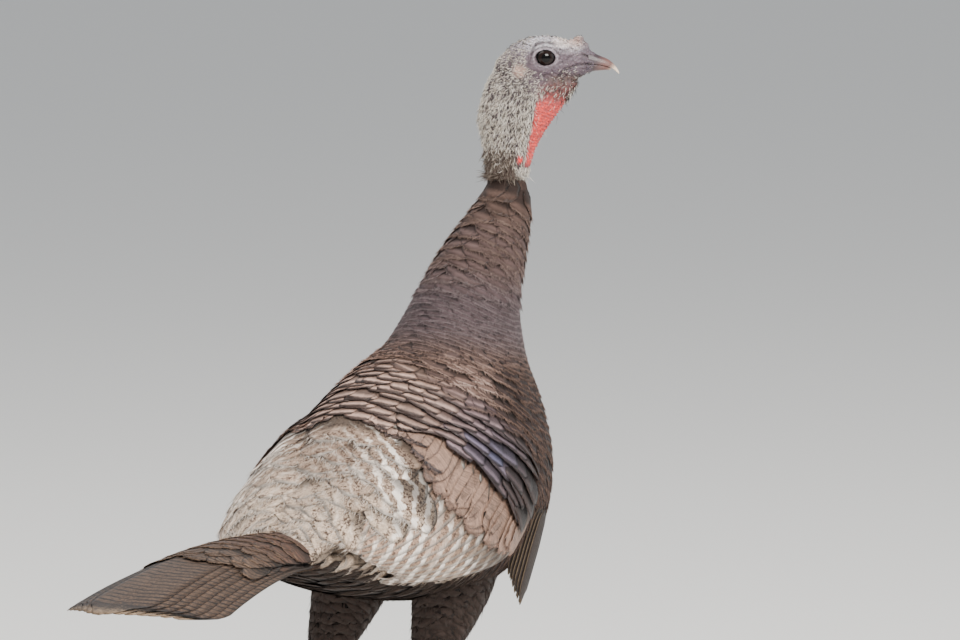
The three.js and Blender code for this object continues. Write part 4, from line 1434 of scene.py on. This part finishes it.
def makeTrunk():
    trunk = copyNodes("trunk_skin", ["trunk", "neck_lower", "thigh_left", "thigh_right"])
    rump = ball("rump", toFrame((0, 190, 257)), (0.030, 0.050, 0.0125), 32, 20)
    trunk = joined("trunk_skin", [trunk, rump])
    remeshed(trunk, 0.0037, 3)
    points = vertexArray(trunk.data)
    z = points[:, 2] * 1000
    y = points[:, 1] * 1000 - shift[1]
    depth = 6.5 - 3.7 * ramp(z, 380, 480) - 1.2 * ramp(z, 505, 526)
    depth = depth * (1 - 0.55 * ramp(y, 110, 170))
    depth = np.where(z < 225, np.minimum(depth, 1.2 + 0.055 * np.maximum(z - 136, 0)), depth)
    points = points - normalArray(trunk.data) * depth[:, None] * 0.001
    setVertices(trunk.data, points)
    return trunk


def skinMaterial(name, look):
    material, tree, shader = newMaterial(name, {
        "Specular IOR Level": look["gloss"], "Subsurface Weight": look["soft"],
        "Subsurface Radius": (0.004, 0.0015, 0.001), "Subsurface Scale": 0.4})
    plus, less, times = sums(tree)
    place = objectPlace(tree)
    fine = speckles(tree, place, look["fine"], 3, 0.6)
    coarse = speckles(tree, place, look["coarse"], 2, 0.5)
    cell = tree.nodes.new("ShaderNodeTexVoronoi")
    wire(tree, place, cell.inputs["Vector"])
    cell.inputs["Scale"].default_value = look["cells"]
    seam = fade(tree, cell.outputs["Distance"], 0.25, 0.75)
    colour = blendColour(tree, attribute(tree, "hue").outputs["Color"], rgba(look["shadow"]), times(seam, look["seam"]))
    tone = plus(plus(0.42, times(fine, 0.7)), times(coarse, 0.5))
    wire(tree, blendColour(tree, colour, grey(tree, tone), 1.0, "MULTIPLY"), shader.inputs["Base Color"])
    wire(tree, fade(tree, fine, 0.3, 0.7, look["rough"] - 0.08, look["rough"] + 0.1), shader.inputs["Roughness"])
    addBump(tree, shader, less(times(fine, 0.5), times(seam, 0.7)), look["bump"], look["depth"])
    return material


skinLooks = {
    "faceSkin": {"fine": 900, "coarse": 200, "cells": 520, "seam": 0.5, "shadow": tint(80, 66, 72), "rough": 0.5,
                 "bump": 0.9, "depth": 0.0006, "gloss": 0.45, "soft": 0.1},
    "downSkin": {"fine": 400, "coarse": 90, "cells": 300, "seam": 0.2, "shadow": tint(30, 24, 22), "rough": 0.85,
                 "bump": 0.5, "depth": 0.001, "gloss": 0.1, "soft": 0.0},
    "legSkin": {"fine": 500, "coarse": 110, "cells": 420, "seam": 0.45, "shadow": tint(90, 66, 60), "rough": 0.5,
                "bump": 0.5, "depth": 0.0004, "gloss": 0.45, "soft": 0.05},
}


def makeSkin():
    head, trunk = makeHead(), makeTrunk()
    legs = makeLegs()
    faceSkin, downSkin, legSkin = (skinMaterial(name, look) for name, look in skinLooks.items())
    writeColour(head.data, "hue", headColour(toHead(vertexArray(head.data))))
    along, turn = nearestPlace(vertexArray(trunk.data))
    tones = plumage(along, np.abs(turn))[0]
    writeColour(trunk.data, "hue", mixed(tones, palette["down"], np.full(len(tones), 0.55)))
    for leg in legs:
        points = vertexArray(leg.data)
        tones = np.broadcast_to(legShape["toeHue"], points.shape)
        tones = mixed(tones, legShape["shankHue"], ramp(points[:, 2] * 1000, 20, 110))
        writeColour(leg.data, "hue", tones)
    for thing, material in ((head, faceSkin), (trunk, downSkin), (legs[0], legSkin), (legs[1], legSkin)):
        thing.data.materials.clear()
        thing.data.materials.append(material)
    skin = joined("skin", [head, trunk] + legs)
    smoothAll(skin)
    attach(skin, "root")
    flesh = ["head", "neck_upper", "snood", "neck_lower", "trunk"]
    for side in ("left", "right"):
        flesh += ["thigh_" + side] + legNames(side)
    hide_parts(*flesh)
    print("skin", triangles(skin), "triangles")
    return skin


skin = makeSkin()


# eyes, bill and claws
def plainMaterial(name, colour, rough, coat=0.0, gloss=0.5):
    return newMaterial(name, {"Base Color": rgba(colour), "Roughness": rough, "Coat Weight": coat,
                              "Coat Roughness": 0.03, "Coat IOR": 1.36, "Specular IOR Level": gloss})[0]


eyeLook = {"iris": tint(20, 12, 10), "streak": tint(32, 20, 16), "pupil": tint(5, 4, 4), "rim": tint(9, 6, 6),
           "irisRadius": 0.0056, "pupilRadius": 0.0034, "size": (0.0084, 0.0063, 0.0069), "aside": 9.0,
           "front": (0.6, 15.2, 0.1), "grain": 1500, "rough": 0.25, "coat": 0.7}


def vectorNode(tree, operation, first, second=None):
    node = tree.nodes.new("ShaderNodeVectorMath")
    node.operation = operation
    wire(tree, first, node.inputs[0])
    if second is not None:
        node.inputs[1].default_value = tuple(second)
    return node


def makeEyes():
    for side, sign in (("left", 1), ("right", -1)):
        low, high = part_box("eye_" + side)
        centre = (low + high) / 2
        eye = ball("eyeball_" + side, (0, 0, 0), eyeLook["size"], 48, 32)
        local = vertexArray(eye.data) * 1000
        local[:, 1] += sign * eyeLook["aside"]
        setVertices(eye.data, fromHead(local))
        off = np.linalg.norm(vertexArray(eye.data).mean(0) - np.array(centre)) * 1000
        print(eye.name, "is", round(off, 2), "mm from the middle of its node")
        material = plainMaterial("eyeGloss_" + side, eyeLook["iris"], eyeLook["rough"], eyeLook["coat"], 0.0)
        tree = material.node_tree
        front = fromHead(np.array(eyeLook["front"]) * [1, sign, 1])
        offset = vectorNode(tree, "SUBTRACT", objectPlace(tree), front)
        distance = vectorNode(tree, "LENGTH", offset.outputs[0]).outputs["Value"]
        streak = speckles(tree, objectPlace(tree), eyeLook["grain"], 3, 0.7)
        colour = blendColour(tree, rgba(eyeLook["iris"]), rgba(eyeLook["streak"]), streak)
        pupil, iris = eyeLook["pupilRadius"], eyeLook["irisRadius"]
        colour = blendColour(tree, rgba(eyeLook["pupil"]), colour, fade(tree, distance, pupil, pupil + 0.0004))
        colour = blendColour(tree, colour, rgba(eyeLook["rim"]), fade(tree, distance, iris, iris + 0.0008))
        wire(tree, colour, tree.nodes["Principled BSDF"].inputs["Base Color"])
        eye.data.materials.append(material)
        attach(eye, "root")
        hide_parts("eye_" + side)


makeEyes()
print("eyes")


def hornMaterial(name, look):
    material, tree, shader = newMaterial(name, {"Specular IOR Level": 0.5})
    place = objectPlace(tree)
    reach = vectorNode(tree, "DISTANCE", place, look["tip"]).outputs["Value"]
    streak = speckles(tree, stretched(tree, place, (1, 1, 3)), look["grain"], 4, 0.6, 0.4)
    colour = blendColour(tree, rgba(look["end"]), rgba(look["root"]), fade(tree, reach, look["from"], look["to"]))
    colour = blendColour(tree, colour, rgba(look["base"]), fade(tree, reach, look["to"] + 0.002, look["to"] + 0.012))
    colour = blendColour(tree, colour, rgba(look["stain"]), fade(tree, streak, 0.5, 0.75, 0.0, look["stained"]))
    wire(tree, colour, shader.inputs["Base Color"])
    wire(tree, fade(tree, streak, 0.3, 0.7, look["rough"] - 0.07, look["rough"] + 0.1), shader.inputs["Roughness"])
    addBump(tree, shader, streak, 0.35, 0.0003)
    return material


billLook = {"end": tint(240, 216, 192), "root": tint(108, 76, 70), "base": tint(62, 51, 55), "stain": tint(52, 40, 42),
            "stained": 0.5, "from": 0.003, "to": 0.011, "grain": 420, "rough": 0.35, "tipAt": (58.3, 0, -13),
            "voxel": 0.0004, "smooth": 6, "swell": 0.00022}


def makeBill():
    horn = hornMaterial("billHorn", dict(billLook, tip=fromHead(np.array(billLook["tipAt"]))))
    for node, name in (("bill_upper", "upper_bill"), ("bill_lower", "lower_bill")):
        bill = copyNodes(name, [node])
        remeshed(bill, billLook["voxel"], billLook["smooth"])
        setVertices(bill.data, vertexArray(bill.data) + normalArray(bill.data) * billLook["swell"])
        bill.data.materials.append(horn)
        smoothAll(bill)
        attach(bill, "root")
        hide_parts(node)


makeBill()
print("bill")


clawLook = {"tip": (0, 0, 0), "end": tint(70, 58, 50), "root": tint(70, 58, 50), "base": tint(70, 58, 50),
            "stain": tint(30, 24, 22), "stained": 0.8, "from": 0.0, "to": 0.5, "grain": 500, "rough": 0.4,
            "voxel": 0.00045, "smooth": 5, "swell": 0.00025}


def makeClaws():
    names = ["claw_" + side + "_" + toe for side in ("left", "right") for toe in toes]
    claws = copyNodes("claws", names)
    remeshed(claws, clawLook["voxel"], clawLook["smooth"])
    points = vertexArray(claws.data) + normalArray(claws.data) * clawLook["swell"]
    points[:, 2] = np.maximum(points[:, 2], 0.0)
    setVertices(claws.data, points)
    claws.data.materials.append(hornMaterial("clawHorn", clawLook))
    smoothAll(claws)
    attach(claws, "root")
    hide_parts(*names)


makeClaws()
print("claws")

# bristles on the head and bare neck
bristle = {"count": 11000, "napeCount": 2600, "collarCount": 1500, "radius": 0.26, "pale": tint(252, 246, 236),
           "warm": tint(206, 192, 174), "dark": tint(50, 42, 40), "nape": tint(84, 66, 58)}


def skinSamples(count, weightOf):
    # places on the head's skin, drawn by area and by how thickly bristles grow there
    mesh = skin.data
    slots = np.empty(len(mesh.polygons), np.int32)
    mesh.polygons.foreach_get("material_index", slots)
    pick = slots == 0
    centres, normals = (readArray(mesh.polygons, key)[pick] for key in ("center", "normal"))
    weight = readArray(mesh.polygons, "area", 1)[pick, 0] * weightOf(toHead(centres))
    chosen = chance.choice(len(weight), size=count, p=weight / weight.sum())
    jitter = chance.normal(size=(count, 3)) * 0.0003
    return toHead(centres[chosen].astype(float) + jitter), normals[chosen].astype(float) @ headAxes.T


def bristleWeight(local):
    u, v, w = local[:, 0], np.abs(local[:, 1]), local[:, 2]
    weight = 0.34 + np.minimum(ramp(-u, 2, 16) + ramp(-w, 12, 26), 1.0)
    weight *= 1 - 0.98 * ramp(throatShare(local), 0.0, 0.5)
    weight *= 1 - 0.8 * ramp(-w, 68, 82) * ramp(-u, 20, 28)
    weight *= ramp(np.hypot(u / 7.5, w / 5.8), 1.75, 2.2) + (v < 4)
    weight *= ramp(34 - u, 0, 8) * ramp(w + 96, 0, 3)
    weight *= 1 - 0.7 * bell(np.hypot(u + 20, w + 10.3), 4.5, 4)
    weight *= 1 - 0.85 * (ramp(u, -2, 8) * ramp(w, -10, -6) * (1 - ramp(w, 4, 9)))
    weight *= 1 - bell(np.hypot(u + 20, w + 79), 4, 4)
    chin = ramp(-w, 8, 14) * ramp(u, 0, 10) * (1 - ramp(-w, 26, 34))
    return np.clip(weight * (1 - 0.5 * chin) + 0.25 * chin * (v < 9), 0, 2)


def growSpikes(name, local, normal, length, thick, lift, tone, rootShade):
    # closed three-sided bristles that lie back and down over the skin
    count, sides, steps = len(local), 3, 3
    u, v, w = local.T
    lie = np.stack([-1.0 + 0.7 * ramp(-w, 10, 50), 0 * u, -0.25 - 1.0 * ramp(-w, 4, 40)], -1)
    lie = lie + chance.normal(size=lie.shape) * 0.38
    lie -= normal * (lie * normal).sum(-1, keepdims=True)
    lie /= np.linalg.norm(lie, axis=-1, keepdims=True)
    side = np.cross(lie, normal)
    curl = chance.normal(size=count)[:, None] * 0.4
    share = np.linspace(0, 1, steps + 1)
    points = np.empty((count, steps, sides, 3))

    def spine(s):
        rise = normal * (length * lift * (s - 0.45 * s * s) - 0.3)[:, None]
        return lie * (length * s)[:, None] + side * curl * (length * s * s)[:, None] + rise

    for j in range(steps):
        for i in range(sides):
            turn = 2 * math.pi * i / sides
            ring = side * math.cos(turn) + normal * math.sin(turn)
            points[:, j, i] = local + spine(share[j]) + ring * (thick * (1 - 0.6 * share[j]))[:, None]
    tips = local + spine(1.0)
    per = steps * sides + 1
    everything = np.concatenate([points.reshape(count, -1, 3), tips[:, None]], 1)
    faces = []
    for j in range(steps - 1):
        for i in range(sides):
            k = (i + 1) % sides
            near, far = j * sides, (j + 1) * sides
            faces += [(near + i, near + k, far + k), (near + i, far + k, far + i)]
    for i in range(sides):
        faces.append(((steps - 1) * sides + i, (steps - 1) * sides + (i + 1) % sides, steps * sides))
    faces.append((2, 1, 0))
    faces = (np.array(faces)[None] + (np.arange(count) * per)[:, None, None]).reshape(-1, 3)
    coat = meshFrom(name, fromHead(everything.reshape(-1, 3)), faces)
    faceOutward(coat.data)
    around = np.arctan2(v, -(u + 16)) / (2 * math.pi)
    bake = np.stack([0.5 + around * 0.96, np.clip((w + 96) / 116, 0, 1)], -1)
    rise = np.append(np.repeat(share[:steps], sides), 1)
    lean = np.append(np.tile(np.arange(sides) - 1.0, steps), 0) * 0.0015
    spread = np.stack([lean, rise * 0.003 - 0.0015], -1)
    writeUv(coat.data, "OFBake", (bake[:, None] + spread[None]).reshape(-1, 2))
    hue = tone[:, None] * (rootShade + (1 - rootShade) * rise[None, :, None])
    writeColour(coat.data, "hue", hue.reshape(-1, 3))
    finishCoat(coat, bristleKeratin)


def makeBristleMaterial():
    material = plainMaterial("bristleKeratin", bristle["pale"], 0.5, 0.0, 0.4)
    tree = material.node_tree
    grain = fade(tree, speckles(tree, objectPlace(tree), 1200, 2), 0.2, 0.8, 0.8, 1.1)
    colour = blendColour(tree, attribute(tree, "hue").outputs["Color"], grey(tree, grain), 1.0, "MULTIPLY")
    wire(tree, colour, tree.nodes["Principled BSDF"].inputs["Base Color"])
    return material


def growBristles():
    local, normal = skinSamples(bristle["count"], bristleWeight)
    count = len(local)
    u, _, w = local.T
    length = (2.0 + 2.8 * ramp(-w, 4, 50)) * (0.7 + 0.6 * chance.random(count)) * (1 - 0.1 * ramp(w, 4, 12))
    lift = 0.42 + 0.28 * chance.random(count) + 0.35 * ramp(u, 8, 20) * ramp(-w, 10, 16)
    thick = bristle["radius"] * (0.6 + 0.6 * chance.random(count)) * (1 - 0.4 * ramp(throatShare(local), 0.0, 0.4))
    tone = mixed(np.broadcast_to(bristle["pale"], (count, 3)), bristle["warm"], chance.random(count))
    darkShare = 0.14 + 0.58 * ramp(u, -6, 4) * ramp(-w, 8, 14) + 0.5 * ramp(w, 2, 9)
    tone = mixed(tone, bristle["dark"], (chance.random(count) < darkShare).astype(float))
    growSpikes("head_bristles", local, normal, length, thick, lift, tone, 0.75)

    # hair-like feathers where the plumage begins, brown behind and pale in front
    def napeWeight(p):
        return ramp(-p[:, 2], 64, 82) * ramp(-p[:, 0], 21, 28) * ramp(p[:, 2] + 97, 0, 2)

    def collarWeight(p):
        return ramp(-p[:, 2], 86, 90) * ramp(p[:, 2] + 96, 0, 3)

    local, normal = skinSamples(bristle["napeCount"], napeWeight)
    count = len(local)
    tone = mixed(np.broadcast_to(bristle["nape"], (count, 3)), bristle["warm"], chance.random(count) ** 3 * 0.6)
    growSpikes("nape_tufts", local, normal, 5 + 8 * chance.random(count) ** 2, 0.3 + 0.2 * chance.random(count),
               0.12 + 0.2 * chance.random(count), tone, 0.6)
    local, normal = skinSamples(bristle["collarCount"], collarWeight)
    count = len(local)
    front = ramp(local[:, 0], -27, -21)
    tone = mixed(np.broadcast_to(bristle["nape"], (count, 3)), bristle["warm"], chance.random(count) ** 3 * 0.6)
    tone = mixed(tone, bristle["pale"], front * (0.45 + 0.55 * chance.random(count)))
    length = (6 + 8 * chance.random(count) ** 1.5) * (1 - 0.3 * front)
    growSpikes("collar_tufts", local, normal, length, 0.3 + 0.15 * chance.random(count),
               0.13 + 0.16 * chance.random(count) - 0.08 * front, tone, 0.6)


bristleKeratin = makeBristleMaterial()
growBristles()

# the plumage stands for the plain solids of wings, hands and tail
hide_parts("wing_left", "wing_right")
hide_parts("primaries_left")
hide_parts("primaries_right")
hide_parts("tail")


# floor, light and camera
stage = {"floor": tint(240, 238, 234), "sky": (0.86, 0.9, 0.95, 1), "skyStrength": 0.62,
         "aim": (-0.0335, -0.1811, 0.4195), "distance": 6.0, "turn": 212, "rise": 5, "viewWidth": 0.7488}


def makeStage():
    deselectAll()
    bpy.ops.mesh.primitive_plane_add(size=80, location=(0, 0, 0))
    floor = bpy.context.active_object
    floor.name = "studio_floor"
    floor.data.materials.append(plainMaterial("studioFloor", stage["floor"], 0.9, 0.0, 0.2))
    world = bpy.data.worlds.new("studioSky")
    bpy.context.scene.world = world
    world.use_nodes = True
    background = world.node_tree.nodes["Background"]
    background.inputs[0].default_value = stage["sky"]
    background.inputs[1].default_value = stage["skyStrength"]
    for name, place, size, power, tone in (
        ("key", (-2.6, 2.0, 3.2), 1.8, 330, (1, 0.97, 0.92)),
        ("fill", (-3.0, -1.6, 1.6), 3.0, 45, (0.93, 0.96, 1)),
        ("top", (1.5, 0.6, 3.6), 2.5, 90, (1, 0.98, 0.95)),
    ):
        light = bpy.data.lights.new(name, "AREA")
        light.energy = power
        light.size = size
        light.color = tone
        lamp = bpy.data.objects.new(name, light)
        bpy.context.scene.collection.objects.link(lamp)
        lamp.location = place
        lamp.rotation_euler = (Vector(stage["aim"]) - Vector(place)).to_track_quat("-Z", "Y").to_euler()


def makeCamera():
    data = bpy.data.cameras.new("camera")
    camera = bpy.data.objects.new("camera", data)
    bpy.context.scene.collection.objects.link(camera)
    bpy.context.scene.camera = camera
    turn, rise = math.radians(stage["turn"]), math.radians(stage["rise"])
    back = Vector((math.sin(turn) * math.cos(rise), -math.cos(turn) * math.cos(rise), math.sin(rise)))
    camera.location = Vector(stage["aim"]) + back * stage["distance"]
    camera.rotation_euler = back.to_track_quat("Z", "Y").to_euler()
    data.sensor_width = 36
    data.lens = data.sensor_width * stage["distance"] / stage["viewWidth"]
    data.clip_end = 100


makeStage()
makeCamera()
print("floor, light and camera")
